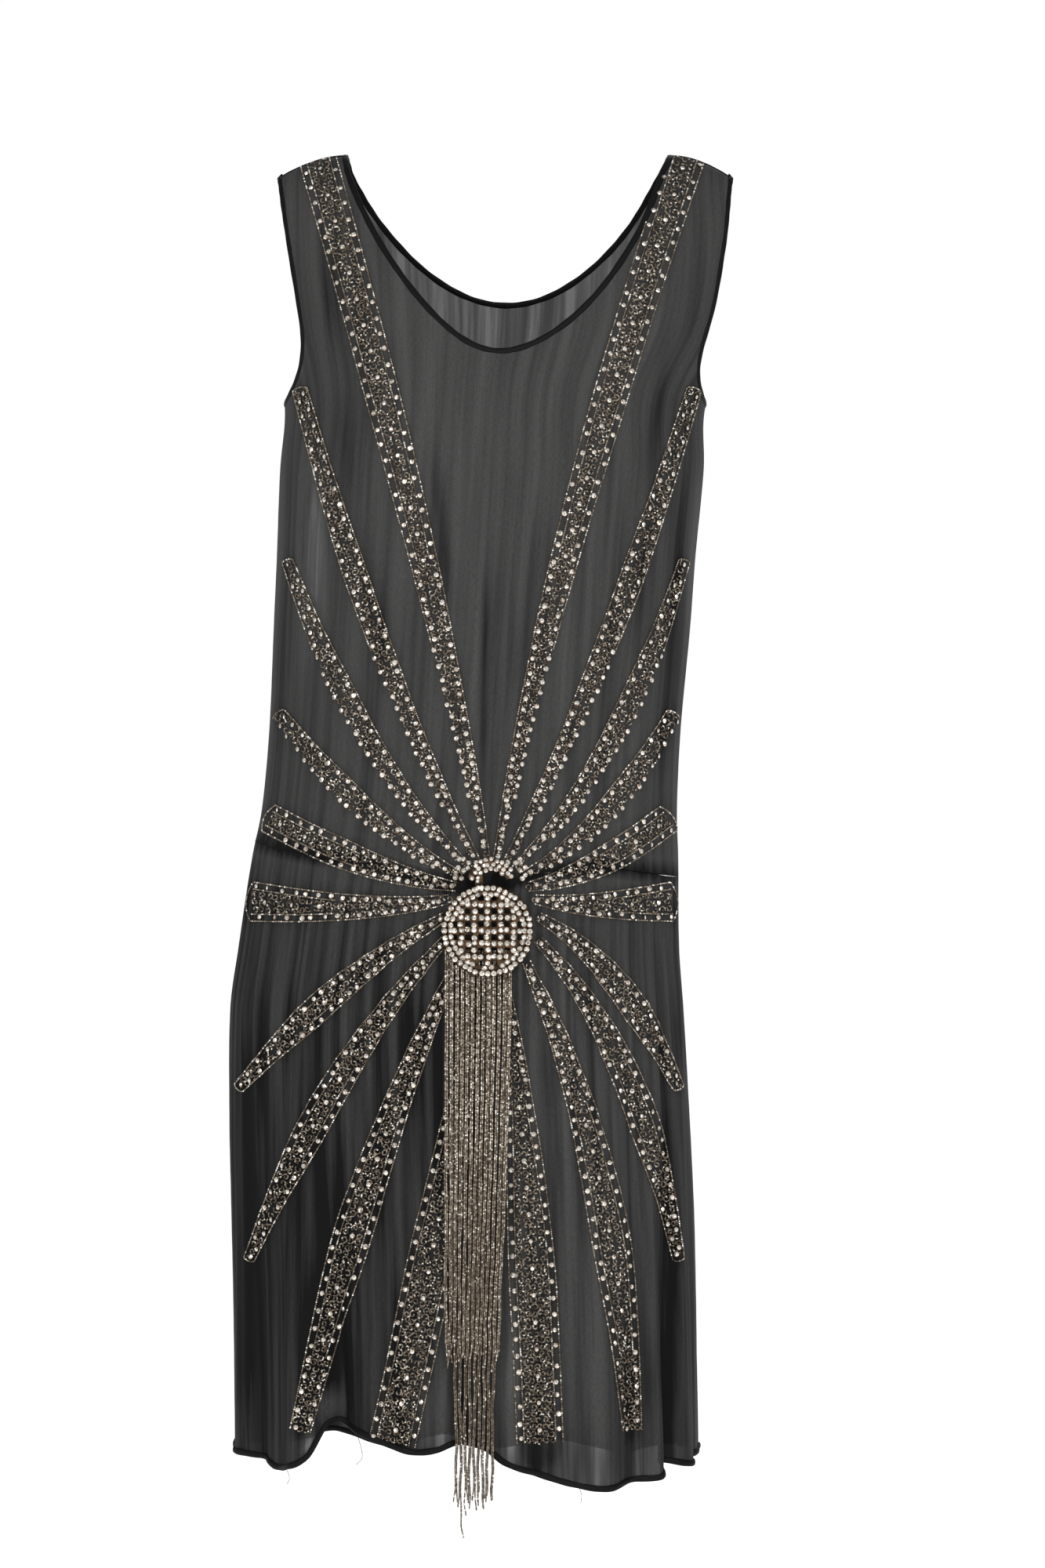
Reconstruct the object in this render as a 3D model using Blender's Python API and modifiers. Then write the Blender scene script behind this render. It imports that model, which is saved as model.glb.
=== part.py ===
"""Beaded chiffon flapper dress, worn form.

Straight sleeveless dress of sheer silk: a bodice with straps cut in one, a low hip seam, a gathered
skirt with a rolled hem, bound neck and armholes, an openwork medallion of stones on the hip seam and
a long fringe of bead strands under it.

Frame: metres, +Z up, the front faces -Y, the wearer's left is +X. The origin lies midway between the
two shoulder seams, level with their tops, where the wearer's shoulders hold the dress.
"""
import math
from collections import namedtuple

import bmesh
import bpy
from mathutils import Matrix, Vector

MM = 0.001

# ---- driving dimensions ----
SEAM_GAP = 0.3 * MM            # sewn pieces stand this far apart
CLOTH = 1.0 * MM               # wall of the silk with its seam allowances
BEADWORK = 1.0 * MM            # room left over the silk for the beads sewn on it
HEM_ROLL = 2.4 * MM            # rolled and whipped hem
HEM_ROLL_HEIGHT = 5 * MM

# The panels end one binding's height short of the finished neck and armhole edges.
NECK_HALF = 134 * MM           # middle of the neck to the inner end of a shoulder seam
SHOULDER_HALF = 183 * MM       # middle of the neck to the outer end
SHOULDER_FALL = 17 * MM        # the seam drops this much on its way out
SHOULDER_ROUND = 1.8           # power of that fall
ARMHOLE_HALF = 163.5 * MM      # middle to the armhole's edge, where it comes furthest in
ARMHOLE_SIDE = -140 * MM       # level of that place
ARMHOLE_REACH = 64 * MM        # height of the armhole's round bottom, below that level
NECK_ROUND = 0.87              # roundness of the scoop
FRONT_SCOOP = 168 * MM
BACK_SCOOP = 116 * MM
YOKE_MIDDLE = -240 * MM        # lowest level of the line that joins the two armholes
YOKE_ROUND = 2.2               # power of that line's rise

BINDING_HEIGHT = 4.0 * MM
BINDING_THICKNESS = 2.2 * MM
BINDING_GAP = 0.6 * MM

MEDALLION_RADIUS = 36.6 * MM
MEDALLION_PLATE = 2.4 * MM
RIM_WIDTH = 5 * MM
RIM_SLOPE = 1.2 * MM
RIM_RISE = 1.6 * MM
RIM_STEPS = 44                 # facets round the plate
STONE_PITCH = 5.2 * MM
LATTICE_HOLE = 4.5 * MM
LATTICE_REACH = 5              # pitches from the middle to the outermost holes
CUTTER_DEPTH = 40 * MM
MEDALLION_MIDDLE = Vector((-10.8 * MM, 0, -628.6 * MM))
MEDALLION_STANDOFF = 6.8 * MM  # room behind the plate for the fringe's heading and the gathers
ARCH_OUTER = 21 * MM
ARCH_INNER = 12 * MM
ARCH_RISE = 36 * MM            # medallion's middle up to the arch's centre
ARCH_SHIFT = 3 * MM
ARCH_HALF_SPAN = math.radians(70)
ARCH_SLIMMING = 0.35           # share of its width the arch loses at its ends
ARCH_STEPS = 14
LINK_WIDTH = 6 * MM
LINK_DEPTH = 1.9 * MM
LINK_SHIFT = -7 * MM

HEADING_WIDTH = 55 * MM
HEADING_HEIGHT = 6 * MM
HEADING_DEPTH = 4.2 * MM
HEADING_MIDDLE = -18 * MM
HEADING_LEVEL = -638 * MM
FOOT_WIDTH = 41 * MM           # the strands draw together towards their ends
FOOT_MIDDLE = -23.5 * MM
FOOT_LEVEL = -1090 * MM
STRAND = 1.5 * MM
STRANDS_ACROSS = 18
STRAND_LAYERS = 2
SHORT_STRANDS = 3              # the outermost strands on the right hang shorter
SHORT_LEVEL = -955 * MM
LONGEST_STRAND = 7
LONGEST_LEVEL = -1109 * MM
ENDS_SPREAD = 8 * MM
ENDS_TURN = (2.4, 1.3)         # steps of the uneven ends, from strand to strand and layer to layer
LAST_SPAN = 20 * MM            # no strand bends closer to its end than this
STRAND_LEVELS = (-700 * MM, -820 * MM, -955 * MM)
GATHER_ROOM = 2 * MM           # the fringe clears the small gathers by this much
FOLD_ROOM = 8 * MM             # and the folds lower down by this much

# ---- resolution of the panels ----
COLUMNS = 56
HALF_COLUMNS = COLUMNS // 2
NECK_COLUMN = 15               # column that starts at the neck end of the shoulder seam
STRAP_COLUMN = 23              # column that starts at its outer end and runs down the armhole
YOKE_ROWS = 6
SHOULDER_CROWDING = 1.9        # power that draws the yoke's rows up to the rounded shoulder
BODY_ROWS = 8
SKIRT_ROWS = 9

# ---- the worn form: half widths and middles at each level, in millimetres ----
# corner is the power of the section's curve: 2 is an ellipse, more is squarer.
Section = namedtuple("Section", "level middle half_width corner")
SECTIONS = (
    Section(0, 5, 205, 2.0),
    Section(-18, 3, 205, 2.0),
    Section(-75, 4, 205, 2.0),
    Section(-140, 3, 195, 2.0),
    Section(-200, -5, 171.5, 2.1),
    Section(-256, -8, 172, 2.2),
    Section(-325, -12.6, 170, 2.3),
    Section(-387, -16.3, 169, 2.3),
    Section(-466, -21.7, 167, 2.3),
    Section(-532, -26.3, 168.5, 2.3),
    Section(-572, -29.8, 173, 2.3),
    Section(-646, -35, 179, 2.3),
    Section(-694, -36.6, 184, 2.3),
    Section(-785, -34.4, 187, 2.3),
    Section(-861, -31.8, 188, 2.3),
    Section(-947, -30, 188, 2.3),
    Section(-1080, -28.6, 188, 2.3),
)

# Depth before and behind the side seams, by the drop below the shoulder seam.
Depth = namedtuple("Depth", "drop front back")
DEPTHS = (
    Depth(0, 0, 0),
    Depth(15, 38, 35),
    Depth(40, 60, 57),
    Depth(80, 82, 78),
    Depth(130, 103, 95),
    Depth(190, 120, 105),
    Depth(250, 126, 107),
    Depth(400, 124, 100),
    Depth(560, 122, 108),
    Depth(700, 128, 118),
    Depth(900, 134, 124),
    Depth(1080, 140, 130),
)

# Levels of the hip seam and the hem, across from the right side seam (-1) to the left one (1).
Edge = namedtuple("Edge", "across level")
FRONT_HIP_SEAM = (
    Edge(-1, -559), Edge(-0.86, -564), Edge(-0.68, -570), Edge(-0.38, -578), Edge(-0.2, -587),
    Edge(0.1, -600), Edge(0.26, -589), Edge(0.38, -583), Edge(0.6, -579), Edge(0.83, -583), Edge(1, -588),
)
BACK_HIP_SEAM = (
    Edge(-1, -559), Edge(-0.5, -571), Edge(0.1, -588), Edge(0.6, -584), Edge(1, -588),
)
FRONT_HEM = (
    Edge(-1, -1052), Edge(-0.87, -1056), Edge(-0.8, -1061), Edge(-0.72, -1059), Edge(-0.64, -1050),
    Edge(-0.58, -1023), Edge(-0.48, -1027), Edge(-0.36, -1035), Edge(-0.24, -1045), Edge(-0.12, -1043),
    Edge(-0.03, -1037), Edge(0.09, -1042), Edge(0.17, -1053), Edge(0.3, -1062), Edge(0.45, -1071),
    Edge(0.58, -1075), Edge(0.72, -1070), Edge(0.8, -1068), Edge(0.86, -1058), Edge(0.94, -1062),
    Edge(1, -1057),
)
BACK_HEM = (
    Edge(-1, -1052), Edge(-0.82, -1060), Edge(-0.6, -1052), Edge(-0.35, -1066), Edge(-0.1, -1058),
    Edge(0.15, -1068), Edge(0.42, -1060), Edge(0.66, -1070), Edge(0.85, -1060), Edge(1, -1057),
)

# Folds that hang down the skirt: where round the body (degrees from the middle), how wide (degrees),
# how far out at the hem (millimetres, less than nothing is a trough), the level where it starts, and
# how far it swings sideways on its way down (degrees).
Fold = namedtuple("Fold", "turn width out start swing")
FRONT_FOLDS = (
    Fold(-74, 5, 5, -760, 0),
    Fold(-62, 4, -7, -700, 0),
    Fold(-46, 6, 15, -720, 3),
    Fold(-35, 4, -13, -740, 3),
    Fold(-24, 6, 8, -760, 2),
    Fold(-14, 4, -6, -800, 0),
    Fold(-6, 5, 4, -820, 0),
    Fold(3, 4, -6, -820, 0),
    Fold(12, 5, 7, -740, 0),
    Fold(19, 4, -5, -760, 0),
    Fold(33, 8, 9, -720, 2),
    Fold(44, 4, -5, -700, 0),
    Fold(52, 4, 10, -760, 1),
    Fold(59, 3.5, -11, -700, 1),
    Fold(70, 5, 6, -660, 0),
    Fold(79, 4, -5, -640, 0),
)
BACK_FOLDS = (
    Fold(-77, 5, 5, -740, 0),
    Fold(-66, 4, -8, -690, 0),
    Fold(-54, 6, 11, -730, -2),
    Fold(-43, 4, -9, -760, -2),
    Fold(-31, 6, 9, -700, 0),
    Fold(-20, 4, -10, -690, 0),
    Fold(-8, 6, 12, -680, 2),
    Fold(3, 4, -10, -700, 0),
    Fold(15, 6, 9, -740, 0),
    Fold(27, 4, -9, -720, 0),
    Fold(38, 6, 12, -740, 2),
    Fold(49, 4, -9, -700, 2),
    Fold(61, 6, 9, -700, 0),
    Fold(73, 4, -7, -720, 0),
    Fold(81, 4, 4, -760, 0),
)
GATHER_DEPTH = 1.3 * MM        # small gathers along the hip seam, one to every two columns
GATHER_END = -800 * MM
GATHER_FADE = 0.75             # share of their length over which the gathers die out
GATHER_RISE = 30 * MM          # height below the seam over which they grow
CALM_WIDTH = 9                 # degrees beside each side seam where nothing folds

MERGE = 0.01 * MM
FRONT, BACK = -1, 1

Finish = namedtuple("Finish", "name rgb roughness metallic")
CHIFFON = Finish("black_chiffon", (0.012, 0.012, 0.014), 0.75, 0)
SILK = Finish("binding_silk", (0.006, 0.006, 0.007), 0.6, 0)
SETTING_METAL = Finish("medallion_metal", (0.5, 0.47, 0.42), 0.3, 0.9)
BEADS = Finish("fringe_beads", (0.35, 0.32, 0.28), 0.35, 0.8)


# ---- small tools ----
def ease(amount):
    """0 to 1 with level ends."""
    amount = min(1.0, max(0.0, amount))
    return amount * amount * (3 - 2 * amount)


def curve_through(points, at):
    """Smooth curve through (place, value) points whose places rise; flat beyond both ends."""
    if at <= points[0][0]:
        return points[0][1]
    if at >= points[-1][0]:
        return points[-1][1]
    index = max(i for i, point in enumerate(points) if point[0] <= at)
    index = min(index, len(points) - 2)

    def slope(i):
        low = points[max(i - 1, 0)]
        high = points[min(i + 1, len(points) - 1)]
        return (high[1] - low[1]) / (high[0] - low[0])

    (start, first), (end, second) = points[index], points[index + 1]
    span = end - start
    t = (at - start) / span
    return (first * (1 + 2 * t) * (1 - t) ** 2 + second * t * t * (3 - 2 * t)
            + span * (slope(index) * t * (1 - t) ** 2 - slope(index + 1) * t * t * (1 - t)))


def column_curve(rows, place, value):
    """(place, value) points in metres from two named columns of a table, places rising."""
    points = [(getattr(row, place) * MM, getattr(row, value) * MM) for row in rows]
    return sorted(points)


MIDDLE_CURVE = column_curve(SECTIONS, "level", "middle")
WIDTH_CURVE = column_curve(SECTIONS, "level", "half_width")
CORNER_CURVE = sorted((row.level * MM, row.corner) for row in SECTIONS)
# Depth runs as the root of the drop near the shoulder, which rounds the dress over its seam.
DEPTH_CURVE = {
    FRONT: [(math.sqrt(row.drop * MM), row.front * MM) for row in DEPTHS],
    BACK: [(math.sqrt(row.drop * MM), row.back * MM) for row in DEPTHS],
}
HIP_CURVE = {
    FRONT: [(edge.across, edge.level * MM) for edge in FRONT_HIP_SEAM],
    BACK: [(edge.across, edge.level * MM) for edge in BACK_HIP_SEAM],
}
HEM_CURVE = {
    FRONT: [(edge.across, edge.level * MM) for edge in FRONT_HEM],
    BACK: [(edge.across, edge.level * MM) for edge in BACK_HEM],
}
FOLDS = {FRONT: FRONT_FOLDS, BACK: BACK_FOLDS}
SCOOP = {FRONT: FRONT_SCOOP, BACK: BACK_SCOOP}

NECK_TURN = math.asin(NECK_HALF / (SECTIONS[0].half_width * MM))
SHOULDER_TURN = math.asin(SHOULDER_HALF / (SECTIONS[1].half_width * MM))
ARMHOLE_TURN = math.asin(ARMHOLE_HALF / (SECTIONS[3].half_width * MM))
SIDE_TURN = math.radians(90)


# ---- the worn form ----
def shoulder_line(across):
    """Level of the top of the rounded shoulder, at a distance from the middle."""
    beyond = max(0.0, abs(across) - NECK_HALF) / (SHOULDER_HALF - NECK_HALF)
    return -SHOULDER_FALL * beyond ** SHOULDER_ROUND


def body_point(side, turn, level):
    """Point of the worn form, and its level outward direction."""
    sine = max(-1.0, min(1.0, math.sin(turn)))
    half_width = curve_through(WIDTH_CURVE, level)
    corner = curve_through(CORNER_CURVE, level)
    across = half_width * sine
    drop = max(0.0, shoulder_line(across) - level)
    depth = curve_through(DEPTH_CURVE[side], math.sqrt(drop))
    fullness = max(0.0, 1 - abs(sine) ** corner) ** (1 / corner)
    middle = curve_through(MIDDLE_CURVE, level)
    point = Vector((middle + across, side * (SEAM_GAP / 2 + depth * fullness), level))
    outward = Vector((math.copysign(abs(sine) ** (corner - 1), sine) / half_width,
                      side * fullness ** (corner - 1) / max(depth, MM), 0))
    return point, outward.normalized()


def fold_depth(side, turn, level, hem):
    """How far the skirt's folds stand out at a place."""
    degrees = math.degrees(turn)
    total = 0.0
    for fold in FOLDS[side]:
        start = fold.start * MM
        fall = ease((start - level) / (start - hem))
        place = fold.turn + fold.swing * fall
        total += fold.out * MM * fall * math.exp(-((degrees - place) / fold.width) ** 2)
    calm = ease((90 - abs(degrees)) / CALM_WIDTH)
    return total * calm


def gather_depth(column, turn, level, top):
    """Small gathers under the hip seam, deepest below the medallion."""
    calm = ease((90 - abs(math.degrees(turn))) / CALM_WIDTH)
    fade = ease((level - GATHER_END) / (GATHER_FADE * (top - GATHER_END)))
    rise = ease((top - level) / GATHER_RISE)
    wave = 1 if column % 2 else -1
    return wave * GATHER_DEPTH * calm * fade * rise


# ---- panels ----
def grid_panel(name, rows, place, keep, side):
    """Sheet of COLUMNS by rows faces; place(column, row) gives each corner, keep(...) each face."""
    mesh = bmesh.new()
    wall = mesh.verts.layers.float.new("wall")
    bmesh.ops.create_grid(mesh, x_segments=COLUMNS, y_segments=rows, size=1)
    cells = {}
    for vert in mesh.verts:
        column = round((vert.co.x + 1) / 2 * COLUMNS) - HALF_COLUMNS
        row = round((1 - vert.co.y) / 2 * rows)
        cells[vert] = (column, row)
    dropped = []
    for face in mesh.faces:
        column = sum(cells[vert][0] for vert in face.verts) / 4
        row = sum(cells[vert][1] for vert in face.verts) / 4
        if not keep(column, row):
            dropped.append(face)
    bmesh.ops.delete(mesh, geom=dropped, context="FACES")
    corners = {}
    for vert in mesh.verts:
        column, row = cells[vert]
        vert.co, vert[wall] = place(column, row)
        corners[column, row] = vert
    if side == BACK:
        bmesh.ops.reverse_faces(mesh, faces=mesh.faces)
    mesh.normal_update()
    edges = {key: (vert.co.copy(), vert.normal.copy()) for key, vert in corners.items()}
    walls = [vert[wall] for vert in mesh.verts]
    data = bpy.data.meshes.new(name)
    mesh.to_mesh(data)
    mesh.free()
    panel = bpy.data.objects.new(name, data)
    thickest = max(walls)
    group = panel.vertex_groups.new(name="wall")
    for index, thickness in enumerate(walls):
        group.add([index], thickness / thickest, "REPLACE")
    solidify = panel.modifiers.new("cloth wall", "SOLIDIFY")
    solidify.thickness = thickest
    solidify.offset = 1
    solidify.vertex_group = group.name
    return panel, edges


def even_turn(column):
    return SIDE_TURN * column / HALF_COLUMNS


def neck_level(side, turn):
    """Level of the scoop's edge, or of the shoulder seam beyond it."""
    share = abs(math.sin(turn)) / math.sin(NECK_TURN)
    if share < 1:
        return -SCOOP[side] * (1 - share * share) ** NECK_ROUND
    return shoulder_line(abs(math.sin(turn)) * SECTIONS[0].half_width * MM)


def yoke_turn(column):
    """Angle of a column where it crosses the line between the armholes."""
    count = abs(column)
    if count <= NECK_COLUMN:
        turn = NECK_TURN * count / NECK_COLUMN
    elif count <= STRAP_COLUMN:
        turn = NECK_TURN + (ARMHOLE_TURN - NECK_TURN) * (count - NECK_COLUMN) / (STRAP_COLUMN - NECK_COLUMN)
    else:
        arc = SIDE_TURN * (count - STRAP_COLUMN) / (HALF_COLUMNS - STRAP_COLUMN)
        turn = SIDE_TURN - (SIDE_TURN - ARMHOLE_TURN) * math.cos(arc)
    return math.copysign(turn, column)


def yoke_level(column):
    count = abs(column)
    if count <= STRAP_COLUMN:
        return ARMHOLE_SIDE + (YOKE_MIDDLE - ARMHOLE_SIDE) * (1 - (count / STRAP_COLUMN) ** YOKE_ROUND)
    arc = SIDE_TURN * (count - STRAP_COLUMN) / (HALF_COLUMNS - STRAP_COLUMN)
    return ARMHOLE_SIDE - ARMHOLE_REACH * math.sin(arc)


def strap_turn(column):
    """Angle of a column at the neck edge, closest near the shoulder, or at the shoulder seam."""
    count = abs(column)
    if count <= NECK_COLUMN:
        return math.copysign(NECK_TURN * math.sin(SIDE_TURN * count / NECK_COLUMN), column)
    share = (count - NECK_COLUMN) / (STRAP_COLUMN - NECK_COLUMN)
    return math.copysign(NECK_TURN + (SHOULDER_TURN - NECK_TURN) * share, column)


def bodice_place(side):
    def place(column, row):
        if row <= YOKE_ROWS:
            share = (row / YOKE_ROWS) ** SHOULDER_CROWDING
            turn = yoke_turn(column) + (strap_turn(column) - yoke_turn(column)) * (1 - share) ** 2
            top = neck_level(side, strap_turn(column))
            level = top + (yoke_level(column) - top) * share
        else:
            share = (row - YOKE_ROWS) / BODY_ROWS
            turn = yoke_turn(column) + (even_turn(column) - yoke_turn(column)) * ease(share)
            seam = curve_through(HIP_CURVE[side], math.sin(turn)) + SEAM_GAP / 2
            level = yoke_level(column) + (seam - yoke_level(column)) * share
        return body_point(side, turn, level)[0], CLOTH
    return place


def bodice_keep(column, row):
    return row > YOKE_ROWS or abs(column) < STRAP_COLUMN


def skirt_place(side):
    rolled = (0, HEM_ROLL_HEIGHT, HEM_ROLL_HEIGHT + MM)

    def place(column, row):
        turn = even_turn(column)
        top = curve_through(HIP_CURVE[side], math.sin(turn)) - SEAM_GAP / 2
        hem = curve_through(HEM_CURVE[side], math.sin(turn))
        above_roll = hem + rolled[2]
        if row <= SKIRT_ROWS:
            level = top + (above_roll - top) * row / SKIRT_ROWS
        else:
            level = hem + rolled[SKIRT_ROWS + 2 - row]
        point, outward = body_point(side, turn, level)
        out = fold_depth(side, turn, level, hem) + gather_depth(column, turn, level, top)
        return point + outward * out, HEM_ROLL if row > SKIRT_ROWS else CLOTH
    return place


def keep_all(column, row):
    return True


# ---- bindings ----
def towards_neck(place):
    """Roughly the open side of the neck edge, inwards and up."""
    return Vector((-place.x, 0, NECK_HALF))


def towards_arm(place):
    """Roughly the open side of an armhole's edge, outwards and up."""
    return Vector((math.copysign(1, place.x), 0, 1))


def binding(name, edge_points, towards):
    """Closed band of four sides that carries on past a panel edge, for points (place, normal) round it.

    towards tells the side of the edge that is open, as a function of a point.
    """
    count = len(edge_points)
    mesh = bmesh.new()
    rings = []
    for index, (place, normal) in enumerate(edge_points):
        tangent = (edge_points[(index + 1) % count][0] - edge_points[index - 1][0]).normalized()
        beyond = tangent.cross(normal).normalized()
        if beyond.dot(towards(place)) < 0:
            beyond = -beyond
        out = beyond.cross(tangent).normalized()
        if out.dot(normal) < 0:
            out = -out
        low, high = BINDING_GAP, BINDING_GAP + BINDING_HEIGHT
        inner, outer = (CLOTH - BINDING_THICKNESS) / 2, (CLOTH + BINDING_THICKNESS) / 2
        corners = ((low, inner), (low, outer), (high, outer), (high, inner))
        rings.append([mesh.verts.new(place + beyond * up + out * off) for up, off in corners])
    for ring in rings:
        for k in range(4):
            mesh.edges.new((ring[k], ring[(k + 1) % 4]))
    for index, ring in enumerate(rings):
        following = rings[(index + 1) % count]
        first = {mesh.edges.get((ring[k], ring[(k + 1) % 4])) for k in range(4)}
        second = {mesh.edges.get((following[k], following[(k + 1) % 4])) for k in range(4)}
        bmesh.ops.bridge_loops(mesh, edges=list(first | second))
    bmesh.ops.recalc_face_normals(mesh, faces=mesh.faces)
    return mesh_object(name, mesh)


def mesh_object(name, mesh):
    data = bpy.data.meshes.new(name)
    mesh.to_mesh(data)
    mesh.free()
    return bpy.data.objects.new(name, data)


def neck_points(front_edges, back_edges):
    """Round the neck: right shoulder, front scoop, left shoulder, back scoop."""
    def shoulder(sign):
        front = front_edges[sign * NECK_COLUMN, 0]
        back = back_edges[sign * NECK_COLUMN, 0]
        return (front[0] + back[0]) / 2, (front[1] + back[1]).normalized()

    scoop = range(1 - NECK_COLUMN, NECK_COLUMN)
    points = [shoulder(-1)]
    points += [front_edges[column, 0] for column in scoop]
    points.append(shoulder(1))
    points += [back_edges[column, 0] for column in reversed(scoop)]
    return points


def armhole_points(front_edges, back_edges, sign):
    """Round an armhole: shoulder, down the front, underarm, up the back."""
    def down(edges):
        points = [edges[sign * STRAP_COLUMN, row] for row in range(1, YOKE_ROWS + 1)]
        points += [edges[sign * column, YOKE_ROWS] for column in range(STRAP_COLUMN + 1, HALF_COLUMNS)]
        return points

    def join(key):
        front, back = front_edges[key], back_edges[key]
        return (front[0] + back[0]) / 2, (front[1] + back[1]).normalized()

    front_side, back_side = down(front_edges), down(back_edges)
    return ([join((sign * STRAP_COLUMN, 0))] + front_side + [join((sign * HALF_COLUMNS, YOKE_ROWS))]
            + back_side[::-1])


# ---- medallion ----
def as_cutter(item, collection):
    collection.objects.link(item)
    item.hide_render = True
    item.display_type = "WIRE"
    return item


def cutter_for_lattice(collection):
    """Square holes of the lattice: every second place both ways, inside the rim."""
    mesh = bmesh.new()
    steps = range(-LATTICE_REACH, LATTICE_REACH + 1, 2)
    limit = MEDALLION_RADIUS - RIM_WIDTH
    for across in steps:
        for up in steps:
            place = Vector((across * STONE_PITCH, 0, up * STONE_PITCH))
            if place.length + LATTICE_HOLE / 2 > limit:
                continue
            size = Matrix.Diagonal((LATTICE_HOLE, CUTTER_DEPTH, LATTICE_HOLE, 1))
            bmesh.ops.create_cube(mesh, size=1, matrix=Matrix.Translation(place) @ size)
    return as_cutter(mesh_object("lattice_holes", mesh), collection)


def medallion_plate():
    """Turned plate with a raised rim; its back lies on y = 0 and it faces -Y."""
    radius = MEDALLION_RADIUS
    profile = ((0, -MEDALLION_PLATE), (radius - RIM_WIDTH, -MEDALLION_PLATE),
               (radius - RIM_WIDTH + RIM_SLOPE, -MEDALLION_PLATE - RIM_RISE),
               (radius - RIM_SLOPE, -MEDALLION_PLATE - RIM_RISE), (radius, -MEDALLION_PLATE), (radius, 0),
               (0, 0))
    mesh = bmesh.new()
    verts = [mesh.verts.new((across, depth, 0)) for across, depth in profile]
    edges = [mesh.edges.new(pair) for pair in zip(verts, verts[1:])]
    bmesh.ops.spin(mesh, geom=verts + edges, cent=(0, 0, 0), axis=(0, 1, 0), angle=math.tau,
                   steps=RIM_STEPS, use_merge=True)
    bmesh.ops.remove_doubles(mesh, verts=mesh.verts, dist=MERGE)
    bmesh.ops.recalc_face_normals(mesh, faces=mesh.faces)
    return mesh_object("hip_medallion", mesh)


def arch_and_link(collection):
    """Arch of stones over the medallion and the short link between them, to be joined to its plate."""
    mesh = bmesh.new()
    bmesh.ops.create_grid(mesh, x_segments=ARCH_STEPS, y_segments=1, size=1)
    middle, half = (ARCH_OUTER + ARCH_INNER) / 2, (ARCH_OUTER - ARCH_INNER) / 2
    for vert in mesh.verts:
        angle = SIDE_TURN - ARCH_HALF_SPAN * vert.co.x
        radius = middle + half * vert.co.y * (1 - ARCH_SLIMMING * vert.co.x ** 2)
        vert.co = (ARCH_SHIFT + radius * math.cos(angle), 0, ARCH_RISE + radius * math.sin(angle))
    shape = bmesh.ops.extrude_face_region(mesh, geom=mesh.faces[:])
    moved = [item for item in shape["geom"] if isinstance(item, bmesh.types.BMVert)]
    bmesh.ops.translate(mesh, verts=moved, vec=(0, -(MEDALLION_PLATE + RIM_RISE), 0))
    bmesh.ops.recalc_face_normals(mesh, faces=mesh.faces)
    arch = mesh_object("stone_arch", mesh)

    mesh = bmesh.new()
    bottom, top = MEDALLION_RADIUS - RIM_WIDTH / 2, ARCH_RISE + middle
    place = Vector((LINK_SHIFT, -MEDALLION_PLATE / 2, (bottom + top) / 2))
    size = Matrix.Diagonal((LINK_WIDTH, LINK_DEPTH, top - bottom, 1))
    bmesh.ops.create_cube(mesh, size=1, matrix=Matrix.Translation(place) @ size)
    link = mesh_object("arch_link", mesh)
    return as_cutter(arch, collection), as_cutter(link, collection)


def add_boolean(target, cutter, operation):
    modifier = target.modifiers.new(operation.lower() + " " + cutter.name, "BOOLEAN")
    modifier.operation = operation
    modifier.object = cutter
    modifier.solver = "EXACT"


def front_surface(across, level):
    """y of the outside of the plain front, at a place seen from straight in front."""
    middle = curve_through(MIDDLE_CURVE, level)
    half_width = curve_through(WIDTH_CURVE, level)
    turn = math.asin(max(-1.0, min(1.0, (across - middle) / half_width)))
    return body_point(FRONT, turn, level)[0].y - CLOTH - BEADWORK


def make_medallion(parts, cutters):
    plate = medallion_plate()
    parts.objects.link(plate)
    middle = MEDALLION_MIDDLE
    reach = MEDALLION_RADIUS
    top = front_surface(middle.x, middle.z + reach)
    bottom = front_surface(middle.x, middle.z - reach)
    tilt = Matrix.Rotation(math.atan2(bottom - top, 2 * reach), 4, "X")
    place = Matrix.Translation((middle.x, (top + bottom) / 2 - MEDALLION_STANDOFF, middle.z)) @ tilt
    arch, link = arch_and_link(cutters)
    holes = cutter_for_lattice(cutters)
    for item in (plate, arch, link, holes):
        item.matrix_world = place
    add_boolean(plate, link, "UNION")
    add_boolean(plate, arch, "UNION")
    add_boolean(plate, holes, "DIFFERENCE")
    return plate


# ---- fringe ----
def strand_end(column, layer):
    if column < SHORT_STRANDS:
        return SHORT_LEVEL + ENDS_SPREAD * column / SHORT_STRANDS
    if (column, layer) == (LONGEST_STRAND, 0):
        return LONGEST_LEVEL
    return FOOT_LEVEL + ENDS_SPREAD * math.sin(ENDS_TURN[0] * column + ENDS_TURN[1] * layer)


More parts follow.
